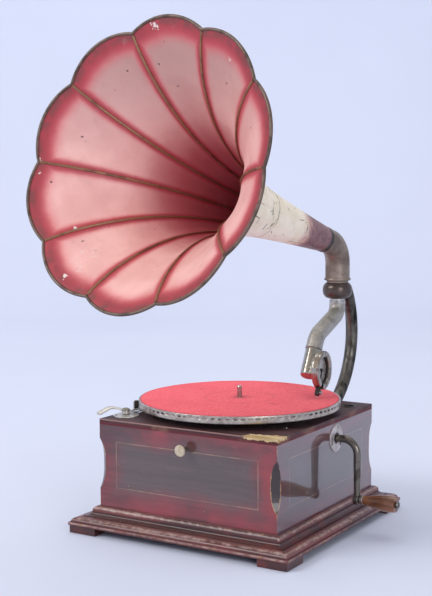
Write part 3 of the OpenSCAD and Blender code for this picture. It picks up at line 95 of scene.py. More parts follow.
def ripple(p: Array, size: float, seed: int, waves: int = 9) -> Array:
    """Sums sine waves in fixed odd directions, as a smooth uneven surface.

    Args:
        p: Points, last axis 3.
        size: Length of the shortest wave, in the points' unit.
        seed: Seed of the directions.
        waves: Number of waves.

    Returns:
        One value for each point, about -1 to 1.
    """
    rng = np.random.default_rng(seed)
    lengths = size * rng.uniform(1.0, 2.6, (waves, 1))
    ways = unit(rng.normal(size=(waves, 3))) * 2 * math.pi / lengths
    heights = np.sin(np.asarray(p) @ ways.T + rng.uniform(0, 2 * math.pi, waves))
    return heights.sum(axis=-1) / waves ** 0.5


def eased(low: float, high: float, steps: int) -> Array:
    """Returns numbers from low to high that crowd at both ends: middle + half sin(pi t / 2)."""
    return (low + high) / 2 + (high - low) / 2 * np.sin(np.linspace(-1, 1, steps) * QUARTER)


def rounded(corners: Any, radius: Any, steps: int = 5, closed: bool = False) -> Array:
    """Rounds the corners of a line of points, each by a short curve tangent to both its sides.

    A corner P gives (1-t)^2 a + 2t(1-t) P + t^2 b, where a and b lie on its sides at the
    rounding radius, or at 45% of a side that is short.

    Args:
        corners: Points of any dimension.
        radius: Rounding radius, one or one for each corner.
        steps: Points in each curve.
        closed: Whether the last point joins the first.

    Returns:
        The rounded line of points.
    """
    p = np.asarray(corners, float)
    r = np.broadcast_to(np.asarray(radius, float), (len(p),))
    back, ahead = np.roll(p, 1, axis=0) - p, np.roll(p, -1, axis=0) - p
    room = 0.45 * np.minimum(np.linalg.norm(back, axis=1), np.linalg.norm(ahead, axis=1))
    reach = np.minimum(r, room)[:, None]
    a, b = p + unit(back) * reach, p + unit(ahead) * reach
    if not closed:
        a[0] = b[0] = p[0]
        a[-1] = b[-1] = p[-1]
    t = np.linspace(0, 1, steps)[None, :, None]
    curve = (1 - t) ** 2 * a[:, None] + 2 * t * (1 - t) * p[:, None] + t ** 2 * b[:, None]
    line = curve.reshape(-1, p.shape[1])
    keep = np.ones(len(line), bool)
    keep[1:] = np.linalg.norm(np.diff(line, axis=0), axis=1) > 1e-6
    return line[keep]


def denser(line: Array, spacing: float) -> Array:
    """Adds points to a line so that none are further apart than the spacing.

    Args:
        line: Points of any dimension.
        spacing: Longest gap that is left.

    Returns:
        The line with each long gap split into equal parts.
    """
    gaps = np.linalg.norm(np.diff(line, axis=0), axis=1)
    counts = np.maximum(1, np.ceil(gaps / spacing)).astype(int)
    at = np.concatenate([i + np.arange(n) / n for i, n in enumerate(counts)] + [[len(line) - 1.0]])
    number = np.arange(len(line))
    return np.stack([np.interp(at, number, column) for column in line.T], axis=1)


def arc_path(corners: Any, radii: Sequence[float], step: float = 2.0) -> Array:
    """Joins straight lines by true circular arcs.

    An arc of radius r at a corner that turns by q starts r tan(q/2) before it, and its centre
    lies on the corner's inner bisector, r / cos(q/2) from it.

    Args:
        corners: The line's corners, as 3-D points.
        radii: Radius at each inner corner.
        step: Distance between points.

    Returns:
        Points along the path.
    """
    p = np.asarray(corners, float)
    pieces = [p[:1]]
    for i, r in enumerate(radii, start=1):
        back, ahead = unit(p[i - 1] - p[i]), unit(p[i + 1] - p[i])
        turn = math.pi - math.acos(float(np.clip(back @ ahead, -1, 1)))
        centre = p[i] + unit(back + ahead) * r / math.cos(turn / 2)
        start = p[i] + back * r * math.tan(turn / 2)
        a = np.linspace(0, turn, max(3, int(r * turn / step)))[:, None]
        pieces.append(centre + r * (np.cos(a) * unit(start - centre) - np.sin(a) * back))
    return denser(np.concatenate(pieces + [p[-1:]]), step)


def walked(line: Array) -> Array:
    """Returns the distance walked along a line at each of its points."""
    return np.concatenate([[0.0], np.cumsum(np.linalg.norm(np.diff(line, axis=0), axis=1))])


def along(line: Array, distances: Any) -> Array:
    """Returns the points of a line at the given distances from its start."""
    d = walked(line)
    return np.stack([np.interp(distances, d, line[:, k]) for k in range(line.shape[1])], axis=1)


def full_turn(steps: int) -> Array:
    """Returns angles in radians that split a full turn evenly."""
    return np.linspace(0, 2 * math.pi, steps, endpoint=False)


def circle(steps: int) -> Array:
    """Returns a closed circle of radius 1, as points in two dimensions."""
    t = full_turn(steps)
    return np.stack([np.cos(t), np.sin(t)], axis=1)


@dataclass(frozen=True)
class Basis:
    """A place and three unit directions."""

    origin: Array
    u: Array
    v: Array
    w: Array

    @staticmethod
    def about(origin: Any, axis: Any, near: Any = (0, 0, 1)) -> "Basis":
        """Makes a basis from an axis and a direction near which u lies, square to it.

        Args:
            origin: Its place.
            axis: Direction of w.
            near: Direction that u lies close to.

        Returns:
            The basis.
        """
        w = unit(axis)
        n = np.asarray(near, float) if abs(float(unit(near) @ w)) < 0.99 else np.array([1.0, 0, 0])
        u = unit(n - (n @ w) * w)
        return Basis(np.asarray(origin, float), u, np.cross(w, u), w)

    def place(self, x: Any, y: Any, z: Any) -> Array:
        """Returns origin + x u + y v + z w, for one point or for whole arrays."""
        x, y, z = (np.asarray(k, float)[..., None] for k in (x, y, z))
        return self.origin + x * self.u + y * self.v + z * self.w


@dataclass
class Surface:
    """A grid of points, with the finish and the marks that its material reads."""

    points: Array
    wrap_rows: bool = False
    wrap_columns: bool = True
    finish: int = 0
    marks: dict[str, Array] = field(default_factory=dict)

    def faces(self) -> Array:
        """Returns the grid's quads as indices into its points in row order.

        Returns:
            Four corners for each quad.
        """
        rows, columns = self.points.shape[:2]
        i = np.arange(rows if self.wrap_rows else rows - 1)[:, None]
        j = np.arange(columns if self.wrap_columns else columns - 1)[None, :]
        i2, j2 = (i + 1) % rows, (j + 1) % columns
        quad = (i * columns + j, i * columns + j2, i2 * columns + j2, i2 * columns + j)
        corners = [np.broadcast_to(q, (i.size, j.size)) for q in quad]
        return np.stack(corners, axis=-1).reshape(-1, 4)

    def marked(self, **marks: Any) -> "Surface":
        """Adds marks, each broadcast to the grid, and returns the surface."""
        for name, value in marks.items():
            self.marks[name] = np.broadcast_to(value, self.points.shape[:2])
        return self

    def on(self, basis: Basis) -> "Surface":
        """Returns the surface with its points placed in a basis."""
        return Surface(basis.place(*np.moveaxis(self.points, -1, 0)), self.wrap_rows)


def lathe(profile: Any, basis: Basis, steps: int = 96, ring: bool = True, finish: int = 0,
          gap: Optional[Pair] = None) -> Surface:
    """Turns a profile round an axis: point = origin + r cos(t) u + r sin(t) v + h w.

    Args:
        profile: Radius and height of each point.
        basis: The axis, w, and where it stands.
        steps: Points round the axis.
        ring: Whether the profile closes on itself, as a ring's section does.
        finish: Index of the piece's finish.
        gap: Angles in radians of a part left out, which is closed by flat ends.

    Returns:
        The turned surface.
    """
    p = np.asarray(profile, float)
    t = full_turn(steps) if gap is None else np.linspace(gap[1], gap[0] + 2 * math.pi, steps)
    r, h = p[:, :1], np.broadcast_to(p[:, 1:2], (len(p), len(t)))
    points = basis.place(r * np.cos(t), r * np.sin(t), h)
    if gap is not None:
        middle = np.broadcast_to(points.mean(axis=0, keepdims=True), points.shape)
        points = np.concatenate([middle[:, :1], points, middle[:, -1:]], axis=1)
    return Surface(points, ring, gap is None, finish)


def sweep(path: Array, side: Any, section: Array, scale: Any = 1.0, ends: bool = True) -> Surface:
    """Carries a closed section along a path that lies in one plane.

    Args:
        path: Points of the path.
        side: The plane's normal, on which the section's first number is measured.
        section: Closed section, as distances along side and across it.
        scale: Size of the section at each point, one or one for each direction.
        ends: Whether both ends close to a point.

    Returns:
        A grid of path points by section points.
    """
    tangent = unit(np.gradient(path, axis=0))
    side = np.asarray(side, float)
    flat = unit(side - (tangent @ side)[:, None] * tangent)
    across = np.cross(tangent, flat)
    s = np.asarray(scale, float)
    s = np.broadcast_to(s.reshape(len(path), -1) if s.ndim else s, (len(path), 2))
    x, y = section[None, :, 0] * s[:, :1], section[None, :, 1] * s[:, 1:]
    points = path[:, None] + x[..., None] * flat[:, None] + y[..., None] * across[:, None]
    if ends:
        caps = [np.broadcast_to(path[k], (1, len(section), 3)) for k in (0, -1)]
        points = np.concatenate([caps[0], points, caps[1]])
    return Surface(points)


def tube(path: Array, side: Any, outside: Any, inside: Any, steps: int = 64) -> Surface:
    """Makes a hollow tube whose radii change along its path, with both walls and both ends.

    Args:
        path: Points of the path.
        side: Normal of the path's plane.
        outside: Distance and outer radius pairs, in order.
        inside: Distance and inner radius pairs, in order.
        steps: Points round the tube.

    Returns:
        One closed grid, out along the outer wall and back along the inner one, marked with the
        distance walked.
    """
    outside, inside = np.asarray(outside, float), np.asarray(inside, float)
    first, last = outside[0, 0], outside[-1, 0]
    even = np.linspace(first, last, int((last - first) / 1.5))
    far = np.unique(np.concatenate([even, outside[:, 0]]))
    back = np.linspace(first, last, 50)
    outer = sweep(along(path, far), side, circle(steps), np.interp(far, *outside.T), False)
    inner = sweep(along(path, back), side, circle(steps), np.interp(back, *inside.T), False)
    made = Surface(np.concatenate([outer.points, inner.points[::-1]]), True)
    return made.marked(walked=np.concatenate([far, back[::-1]])[:, None])


def framed(profile: Any, half: Sequence[float], centre: Sequence[float] = (0, 0), split: int = 24,
           ring: bool = False) -> Surface:
    """Carries a profile round a rectangle with mitred corners.

    Args:
        profile: Distance outside the rectangle and height of each point.
        half: Half the rectangle's width and half its depth.
        centre: Middle of the rectangle in plan.
        split: Points along each side.
        ring: Whether the profile closes on itself.

    Returns:
        A grid of profile points by points round the rectangle.
    """
    t = np.linspace(-1, 1, split, endpoint=False)
    one = np.ones_like(t)
    sides = ((t, -one), (one, t), (-t, one), (-one, -t))
    x, y = (np.concatenate([s[k] for s in sides])[None, :] for k in (0, 1))
    p = np.asarray(profile, float)
    x, y = x * (half[0] + p[:, :1]), y * (half[1] + p[:, :1])
    z = np.broadcast_to(p[:, 1:2], x.shape)
    return Surface(np.stack([x + centre[0], y + centre[1], z], axis=-1), ring)


def board(half: Sequence[float], low: float, high: float, centre: Sequence[float] = (0, 0),
          edge: float = 1.0) -> Surface:
    """Makes a closed flat board with rounded edges.

    Args:
        half: Half its width and half its depth.
        low: Height of its underside.
        high: Height of its top.
        centre: Its middle in plan.
        edge: Rounding of its edges.

    Returns:
        The board's grid, from the middle of its underside round to the middle of its top.
    """
    size = min(half)
    section = rounded([[-size, low], [0, low], [0, high], [-size, high]], edge, 6)
    return framed(denser(section, size / 5), half, centre)


MERGE = 2e-6  # Points nearer than this, in metres, are one point


def make_piece(name: str, surfaces: Sequence[Surface], finishes: Sequence["Finish"], body: str,
               replaces: Sequence[str] = (),
               crease: float = 38.0) -> bpy.types.Object:
    """Builds one object from grids of points and puts it on its body.

    Args:
        name: Name of the piece.
        surfaces: Its surfaces, in millimetres from the spindle's foot.
        finishes: Materials, by the surfaces' finish numbers.
        body: CAD body that it rides on.
        replaces: CAD nodes that it stands for.
        crease: Angle in degrees past which an edge stays sharp.

    Returns:
        The finished object.
    """
    starts = np.cumsum([0] + [s.points[..., 0].size for s in surfaces])
    points = (np.concatenate([s.points.reshape(-1, 3) for s in surfaces]) + FOOT) * MM
    quads = np.concatenate([s.faces() + k for s, k in zip(surfaces, starts)])
    kinds = np.concatenate([np.full(len(s.faces()), s.finish) for s in surfaces])
    mesh = bpy.data.meshes.new(name)
    mesh.vertices.add(len(points))
    mesh.vertices.foreach_set("co", points.ravel())
    mesh.loops.add(quads.size)
    mesh.loops.foreach_set("vertex_index", quads.ravel().astype(np.int32))
    mesh.polygons.add(len(quads))
    mesh.polygons.foreach_set("loop_start", (np.arange(len(quads)) * 4).astype(np.int32))
    mesh.polygons.foreach_set("material_index", kinds.astype(np.int32))
    for mark in sorted({m for s in surfaces for m in s.marks}):
        values = [np.asarray(s.marks.get(mark, np.zeros(s.points.shape[:2])), float).ravel()
                  for s in surfaces]
        stored = mesh.attributes.new(mark, "FLOAT", "POINT")
        stored.data.foreach_set("value", np.concatenate(values))
    mesh.update(calc_edges=True)
    work = bmesh.new()
    work.from_mesh(mesh)
    bmesh.ops.remove_doubles(work, verts=work.verts, dist=MERGE)
    bmesh.ops.recalc_face_normals(work, faces=work.faces)
    work.to_mesh(mesh)
    work.free()
    mesh.shade_smooth()
    mesh.set_sharp_from_angle(angle=math.radians(crease))
    piece = bpy.data.objects.new(name, mesh)
    bpy.context.scene.collection.objects.link(piece)
    for finish in finishes:
        mesh.materials.append(finish.material())
    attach(piece, body)
    if replaces:
        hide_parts(*replaces)
    LOG.info("%s: %d faces on %s", name, len(mesh.polygons), body)
    return piece


# Shader maths


class Link:
    """A shader socket that takes part in Python expressions."""

    def __init__(self, graph: "Graph", socket: bpy.types.NodeSocket) -> None:
        """Keeps the graph and the socket."""
        self.graph, self.socket = graph, socket

    def _math(self, operation: str, first: Any, second: Any) -> "Link":
        """Adds one Math node."""
        return self.graph.node("ShaderNodeMath", {"operation": operation}, {0: first, 1: second})

    def __add__(self, other: Any) -> "Link":
        """Adds."""
        return self._math("ADD", self, other)

    def __radd__(self, other: Any) -> "Link":
        """Adds, reflected."""
        return self._math("ADD", other, self)

    def __sub__(self, other: Any) -> "Link":
        """Subtracts."""
        return self._math("SUBTRACT", self, other)

    def __rsub__(self, other: Any) -> "Link":
        """Subtracts, reflected."""
        return self._math("SUBTRACT", other, self)

    def __mul__(self, other: Any) -> "Link":
        """Multiplies."""
        return self._math("MULTIPLY", self, other)

    def __rmul__(self, other: Any) -> "Link":
        """Multiplies, reflected."""
        return self._math("MULTIPLY", other, self)

    def __truediv__(self, other: Any) -> "Link":
        """Divides."""
        return self._math("DIVIDE", self, other)

    def __rtruediv__(self, other: Any) -> "Link":
        """Divides, reflected."""
        return self._math("DIVIDE", other, self)

    def __pow__(self, other: Any) -> "Link":
        """Raises to a power."""
        return self._math("POWER", self, other)

    def top(self, other: Any) -> "Link":
        """Returns the greater of two values."""
        return self._math("MAXIMUM", self, other)

    def least(self, other: Any) -> "Link":
        """Returns the lesser of two values."""
        return self._math("MINIMUM", self, other)

    def size(self) -> "Link":
        """Returns the value without its sign."""
        return self._math("ABSOLUTE", self, 0.0)

    def rise(self, low: float, high: float) -> "Link":
        """Returns a smooth rise from 0 at low to 1 at high, or a fall where high is the lower."""
        if low > high:
            return 1.0 - self.rise(high, low)
        return self.graph.node("ShaderNodeMapRange", {"interpolation_type": "SMOOTHSTEP"},
                               {"Value": self, "From Min": low, "From Max": high})


def linear(code: str) -> Triple:
    """Turns a screen colour such as 'a1b2c3' into linear numbers by the sRGB curve.

    Args:
        code: Six hexadecimal digits.

    Returns:
        Red, green and blue, 0 to 1.
    """
    c = np.array([int(code[i:i + 2], 16) for i in (0, 2, 4)]) / 255
    r, g, b = np.where(c <= 0.04045, c / 12.92, ((c + 0.055) / 1.055) ** 2.4)
    return float(r), float(g), float(b)


class Graph:
    """The node tree of a material or of the room, with one method that adds every node."""

    def __init__(self, holder: Union[Material, bpy.types.World]) -> None:
        """Empties the tree.

        Args:
            holder: The material or world that it belongs to.
        """
        holder.use_nodes = True
        self.holder, self.tree = holder, holder.node_tree
        self.tree.nodes.clear()
        self._place: Optional[Link] = None

    def node(self, kind: str, settings: Optional[dict] = None, inputs: Optional[dict] = None,
             output: Union[int, str] = 0) -> Link:
        """Adds a node.

        Args:
            kind: The node's type.
            settings: Its properties, set before its inputs.
            inputs: Values, links or screen colours by socket name or number.
            output: Which output is returned.

        Returns:
            The chosen output, or the node's first input where it has no output.
        """
        new = self.tree.nodes.new(kind)
        for key, value in (settings or {}).items():
            setattr(new, key, value)
        for key, value in (inputs or {}).items():
            socket = new.inputs[key]
            if isinstance(value, Link):
                self.tree.links.new(value.socket, socket)
            elif isinstance(value, str):
                socket.default_value = (*linear(value), 1.0)
            else:
                socket.default_value = value
        return Link(self, new.outputs[output] if len(new.outputs) else new.inputs[0])

    def place(self) -> Link:
        """Returns the object coordinates, in metres."""
        if self._place is None:
            self._place = self.node("ShaderNodeTexCoord", output="Object")
        return self._place

    def axis(self, number: int) -> Link:
        """Returns one coordinate in millimetres from the spindle's foot."""
        parts = self.node("ShaderNodeSeparateXYZ", inputs={0: self.place()}, output=number)
        return parts * (1 / MM) - float(FOOT[number])

    def mark(self, name: str) -> Link:
        """Returns a value stored on the mesh."""
        return self.node("ShaderNodeAttribute", {"attribute_name": name}, output="Fac")

    def stretched(self, scale: Triple) -> Link:
        """Returns the object coordinates multiplied by a scale for each axis."""
        return self.node("ShaderNodeMapping", inputs={"Vector": self.place(), "Scale": scale})

    def noise(self, size: float, detail: float = 3.0, vector: Optional[Link] = None,
              rough: float = 0.55, warp: float = 0.0) -> Link:
        """Returns fractal noise, 0 to 1, with features of about the given size in millimetres."""
        return self.node("ShaderNodeTexNoise", None, {
            "Vector": vector or self.place(), "Scale": 1 / MM / size, "Detail": detail,
            "Roughness": rough, "Distortion": warp})

    def cells(self, size: float, feature: str = "F1", output: str = "Distance") -> Link:
        """Returns an output of a cell pattern, its points about the given millimetres apart."""
        return self.node("ShaderNodeTexVoronoi", {"feature": feature},
                         {"Vector": self.place(), "Scale": 1 / MM / size}, output)

    def spots(self, size: float, share: float, radius: float = 0.2) -> Link:
        """Returns scattered specks: a share of cells holds one, of a radius relative to a cell."""
        chosen = self.node("ShaderNodeSeparateColor", None, {0: self.cells(size, output="Color")})
        return (chosen - (1 - share)).rise(0.0, 0.02) * self.cells(size).rise(radius, radius * 0.6)

    def chip(self, centre: Sequence[float], radius: float, uneven: Link) -> Link:
        """Returns an uneven patch round one point.

        Args:
            centre: Its middle, in millimetres from the spindle's foot.
            radius: Its radius.
            uneven: Noise that frays its edge.

        Returns:
            1 inside the patch and 0 outside.
        """
        at = tuple(float(v) for v in (np.asarray(centre, float) + FOOT) * MM)
        far = self.node("ShaderNodeVectorMath", {"operation": "DISTANCE"},
                        {0: self.place(), 1: at}, 1)
        return (far / MM + (uneven - 0.5) * radius * 5.0).rise(radius, radius * 0.7)

    def mix(self, factor: Any, first: Any, second: Any) -> Link:
        """Mixes two colours, each a link or a screen colour."""
        return self.node("ShaderNodeMix", {"data_type": "RGBA"},
                         {0: factor, 6: first, 7: second}, 2)

    def from_spindle(self) -> tuple[Link, Link, Link]:
        """Returns x and y in millimetres from the spindle, and the distance from it."""
        x, y = self.axis(0), self.axis(1)
        return x, y, self.node("ShaderNodeMath", {"operation": "SQRT"}, {0: x * x + y * y})

    def surface(self, base: Any, rough: Any, metal: float = 0.0, height: Optional[Link] = None,
                others: Optional[dict[str, Any]] = None) -> Material:
        """Ends the graph in a Principled shader.

        Args:
            base: Base colour.
            rough: Roughness.
            metal: Metallic.
            height: Relief in millimetres, as a bump.
            others: Other sockets, by name.

        Returns:
            The material.
        """
        inputs = {"Base Color": base, "Roughness": rough, "Metallic": metal, **(others or {})}
        if height is not None:
            inputs["Normal"] = self.node("ShaderNodeBump", None,
                                         {"Height": height, "Distance": MM})
        shader = self.node("ShaderNodeBsdfPrincipled", None, inputs)
        self.node("ShaderNodeOutputMaterial", None, {"Surface": shader})
        return self.holder


# Finishes


class Finish:
    """A named material that is made once and shared."""

    made: ClassVar[dict[str, Material]] = {}
    name: str

    def material(self) -> Material:
        """Returns the material, and builds it on first use."""
        if self.name not in Finish.made:
            Finish.made[self.name] = self.build(Graph(bpy.data.materials.new(self.name)))
        return Finish.made[self.name]

    def build(self, g: Graph) -> Material:
        """Builds the material."""
        raise NotImplementedError


@dataclass(frozen=True)
class Metal(Finish):
    """Bare or plated metal with tarnish, specks and fine wear.

    The base is mixed towards the tarnish where slow noise is high, and darkened by specks.
    """

    name: str
    colour: str
    tarnish: str
    rough: Pair = (0.2, 0.42)
    metallic: float = 0.9
    patch: float = 14.0
    share: float = 0.5
    grain: float = 0.0
    grain_size: float = 1.0
    specks: float = 0.1
    speck_size: float = 3.0

    def build(self, g: Graph) -> Material:
        """Builds the material.

        Args:
            g: Its graph.

        Returns:
            The material.
        """
        patches = g.noise(self.patch, 4.0).rise(0.62 - 0.3 * self.share, 0.8 - 0.3 * self.share)
        fine = g.noise(self.grain_size, 2.0)
        dark = g.spots(self.speck_size, self.specks)
        worn = (patches * 0.75 + fine.rise(0.45, 0.75) * 0.35).least(1.0)
        base = g.mix(worn, self.colour, self.tarnish)
        base = g.mix(dark * 0.7, base, "2a2420")
        rough = self.rough[0] + (self.rough[1] - self.rough[0]) * worn + dark * 0.2
        height = fine * (self.grain + 0.004) + g.noise(self.patch * 0.6, 2.0) * 0.02
        return g.surface(base, rough, self.metallic, height)


@dataclass(frozen=True)
class CastIron(Finish):
    """Old plated iron worn through to a darker coat, with coppery places."""

    name: str
    colour: str
    dark: str
    copper: str
    amount: float = 0.5

    def build(self, g: Graph) -> Material:
        """Builds the material.

        Args:
            g: Its graph.

        Returns:
            The material.
        """
        slow = g.noise(22.0, 5.0)
        fine = g.noise(2.2, 3.0)
        streak = g.noise(9.0, 4.0, g.stretched((1.0, 1.0, 0.3)))
        worn = (streak * 0.6 + slow * 0.4).rise(0.62 - 0.2 * self.amount, 0.68)
        base = g.mix(worn, self.colour, self.dark)
        base = g.mix(g.noise(12.0, 4.0).rise(0.62, 0.72) * 0.7, base, self.copper)
        base = g.mix(g.spots(4.0, 0.14) * 0.6, base, "2b2622")
        rough = 0.24 + 0.2 * worn + 0.12 * fine
        return g.surface(base, rough, 0.72, fine * 0.05 + slow * 0.12)


@dataclass(frozen=True)
class Nickel(Finish):
    """Bright nickel with a faint warm haze."""

    name: str = "nickel_bright"
    colour: str = "bdb7ab"

    def build(self, g: Graph) -> Material:
        """Builds the material.

        Args:
            g: Its graph.

        Returns:
            The material.
        """
        haze = g.noise(9.0, 5.0).rise(0.42, 0.7)
        pits = g.spots(2.2, 0.12, 0.25)
        base = g.mix(haze * 0.6, self.colour, "86807a")
        base = g.mix(pits * 0.7, base, "3a332c")
        rough = 0.17 + 0.2 * haze + 0.25 * pits
        return g.surface(base, rough, 1.0, haze * 0.02 - pits * 0.03)


@dataclass(frozen=True)
class RimNickel(Finish):
    """Plated rim with a row of dark oval dimples all round.

    With a the turn round the spindle, dimple k has its middle at a = 2 pi (k + 1/2) / count, and
    its mask falls off with the oval distance from that middle.
    """

    name: str = "rim_nickel"
    count: int = 90
    radius: float = 150.0
    middle: float = 181.3
    half_wide: float = 3.9
    shaded_to: float = 176.6

    def build(self, g: Graph) -> Material:
        """Builds the material.

        Args:
            g: Its graph.

        Returns:
            The material.
        """
        (x, y, out), z = g.from_spindle(), g.axis(2)
        turn = g.node("ShaderNodeMath", {"operation": "ARCTAN2"}, {0: y, 1: x})
        share = turn * (self.count / (2 * math.pi)) + 200.0
        cell = g.node("ShaderNodeMath", {"operation": "FRACT"}, {0: share}) - 0.5
        wide = cell * (2 * math.pi * self.radius / self.count)
        uneven = g.noise(11.0, 2.0)
        oval = (wide / self.half_wide) ** 2.0 + ((z - self.middle) / (1.1 + uneven)) ** 2.0
        mask = oval.rise(1.25, 0.35) * out.rise(self.radius - 1.1, self.radius - 0.6)
        haze = g.noise(8.0, 5.0).rise(0.4, 0.7)
        base = g.mix(haze * 0.6, "c2b6aa", "83776d")
        faded = g.noise(42.0, 3.0).rise(0.42, 0.56) * 0.75
        base = g.mix(mask * (0.9 - faded), base, "332c27")
        base = g.mix(z.rise(self.shaded_to, self.shaded_to - 1.8) * 0.8, base, "1d1917")
        base = g.mix(g.spots(3.0, 0.12) * 0.6, base, "4a4038")
        rough = 0.2 + 0.2 * haze + 0.25 * mask
        return g.surface(base, rough, 0.9, haze * 0.02 - mask * 0.5)


@dataclass(frozen=True)
class Felt(Finish):
    """Napped woollen felt with a rubbed ring, lint and a darker ring at the spindle."""

    name: str = "felt_red"

    def build(self, g: Graph) -> Material:
        """Builds the material.

        Args:
            g: Its graph.

        Returns:
            The material.
        """
        _, _, out = g.from_spindle()
        nap = g.noise(0.9, 4.0, warp=0.6)
        tuft = g.noise(5.0, 5.0)
        wide = g.noise(60.0, 3.0)
        base = g.mix(tuft.rise(0.3, 0.7), "e8505d", "f3686f")
        base = g.mix(wide.rise(0.4, 0.7) * 0.25, base, "d84551")
        base = g.mix(nap.rise(0.5, 0.8) * 0.2, base, "ef8088")
        ring = out.rise(13.0, 8.0) * 0.55 + (out - 13.5).size().rise(2.0, 0.4) * 0.3
        rub = (out - 46.0 - 10.0 * tuft).size().rise(5.0, 1.0) * 0.16
        stain = g.noise(26.0, 4.0).rise(0.64, 0.72) * 0.3
        base = g.mix((ring + rub + stain).least(0.8), base, "a83b45")
        base = g.mix(out.rise(144.0, 147.0) * 0.35, base, "b8434d")
        base = g.mix(g.spots(9.0, 0.12, 0.09) * 0.6, base, "7c2c30")
        return g.surface(base, 0.92 + 0.05 * nap, 0.0, nap * 0.35 + tuft * 0.35,
                         {"Sheen Weight": 0.1, "Sheen Roughness": 0.5, "Specular IOR Level": 0.15})


@dataclass(frozen=True)
class Veneer(Finish):
    """Polished mahogany panels: red at the borders, grey-brown in the middle, faint stringing,
    painted shade on the sides.

    Reads the marks across, signed millimetres from a panel's middle, half, half its length, end,
    the distance from the face's own end, flank, 1 on the sides, and scoop, 1 in the corner cuts.
    The inset is how far the stringing lies from a panel's ends, on the front and on the sides.
    """

    name: str = "mahogany_panel"
    low: float = 37.0
    high: float = 165.0
    line_low: float = 66.0
    line_high: float = 134.0
    line_half: float = 0.7
    inset: Pair = (28.5, 34.5)

    def build(self, g: Graph) -> Material:
        """Builds the material.

        Args:
            g: Its graph.

        Returns:
            The material.
        """
        across, half, flank = g.mark("across").size(), g.mark("half"), g.mark("flank")
        scoop, z = g.mark("scoop"), g.axis(2)
        grain = g.noise(34.0, 6.0, g.stretched((0.16, 0.16, 2.6)), 0.62, 0.3)
        pores = g.noise(3.0, 4.0, g.stretched((0.12, 0.12, 1.6)))
        slow = g.noise(70.0, 3.0)
        to_end = half - across
        to_edge = to_end.least((z - self.low).least(self.high - z) * 1.15)
        border = (to_edge + (slow - 0.5) * 50.0).rise(54.0, 6.0)
        heart = g.mix(grain.rise(0.3, 0.7), "4a3b39", "594746")
        red = g.mix(grain.rise(0.35, 0.7), "5a141a", "80222a")
        # Painted shade: the side panels get darker copies of the red and of the grey-brown middle.
        shaded_side_red = g.mix(grain.rise(0.35, 0.7), "42191f", "62282f")
        heart = g.mix(flank * 0.55, heart, "43302f")
        shade = g.mark("across").rise(10.0, -120.0) * (z + (slow - 0.5) * 60.0).rise(84.0, 150.0)
        red = g.mix(shade * 0.7 * (1.0 - flank), red, "3a1a1e")
        base = g.mix(border * 0.95, heart, g.mix(flank * 0.75, red, shaded_side_red))
        glow = g.noise(60.0, 2.0).rise(0.4, 0.62) * border * (1.0 - flank)
        base = g.mix(glow * 0.6, base, "9a2b31")
        base = g.mix(pores.rise(0.55, 0.8) * 0.35, base, "241416")
        front, side = self.inset
        frame_x = to_end - (front + self.line_half) - flank * (side - front)
        frame_z = (z - (self.line_low + self.line_half)).least(self.line_high - self.line_half - z)
        line = frame_x.least(frame_z).size().rise(0.9, 0.5)
        faint = 0.12 + 0.36 * g.noise(25.0, 3.0).rise(0.35, 0.65)
        base = g.mix(line * faint, base, "b08f70")
        fray = g.noise(3.5, 4.0)
        worn = (g.mark("end").least(self.high - z) + (fray - 0.5) * 4.0).rise(0.9, 0.1)
        worn = worn * g.noise(30.0, 3.0).rise(0.42, 0.58)
        dent = g.spots(16.0, 0.16, 0.06)
        base = g.mix(dent * 0.6, base, "caa27c")
        scratch = g.noise(1.6, 2.0, g.stretched((0.05, 0.05, 1.0))).rise(0.68, 0.74)
        base = g.mix(scratch * 0.25, base, "a08078")
        # Painted shade: the corner cuts are darkened, as a hollow in shade.
        base = g.mix(scoop * 0.75, base, "231216")
        base = g.mix(worn * 0.85, base, "b98f62")
        rough = 0.24 + 0.14 * slow + 0.4 * worn + 0.12 * scratch
        height = grain * 0.05 - pores * 0.03 - line * 0.05 + slow * 0.25
        polish = {"Coat Weight": (0.36 + 0.64 * flank) * (1.0 - 0.85 * scoop),
                  "Coat Roughness": 0.05, "Coat IOR": 2.2}
        return g.surface(base, rough, 0.0, height, polish)


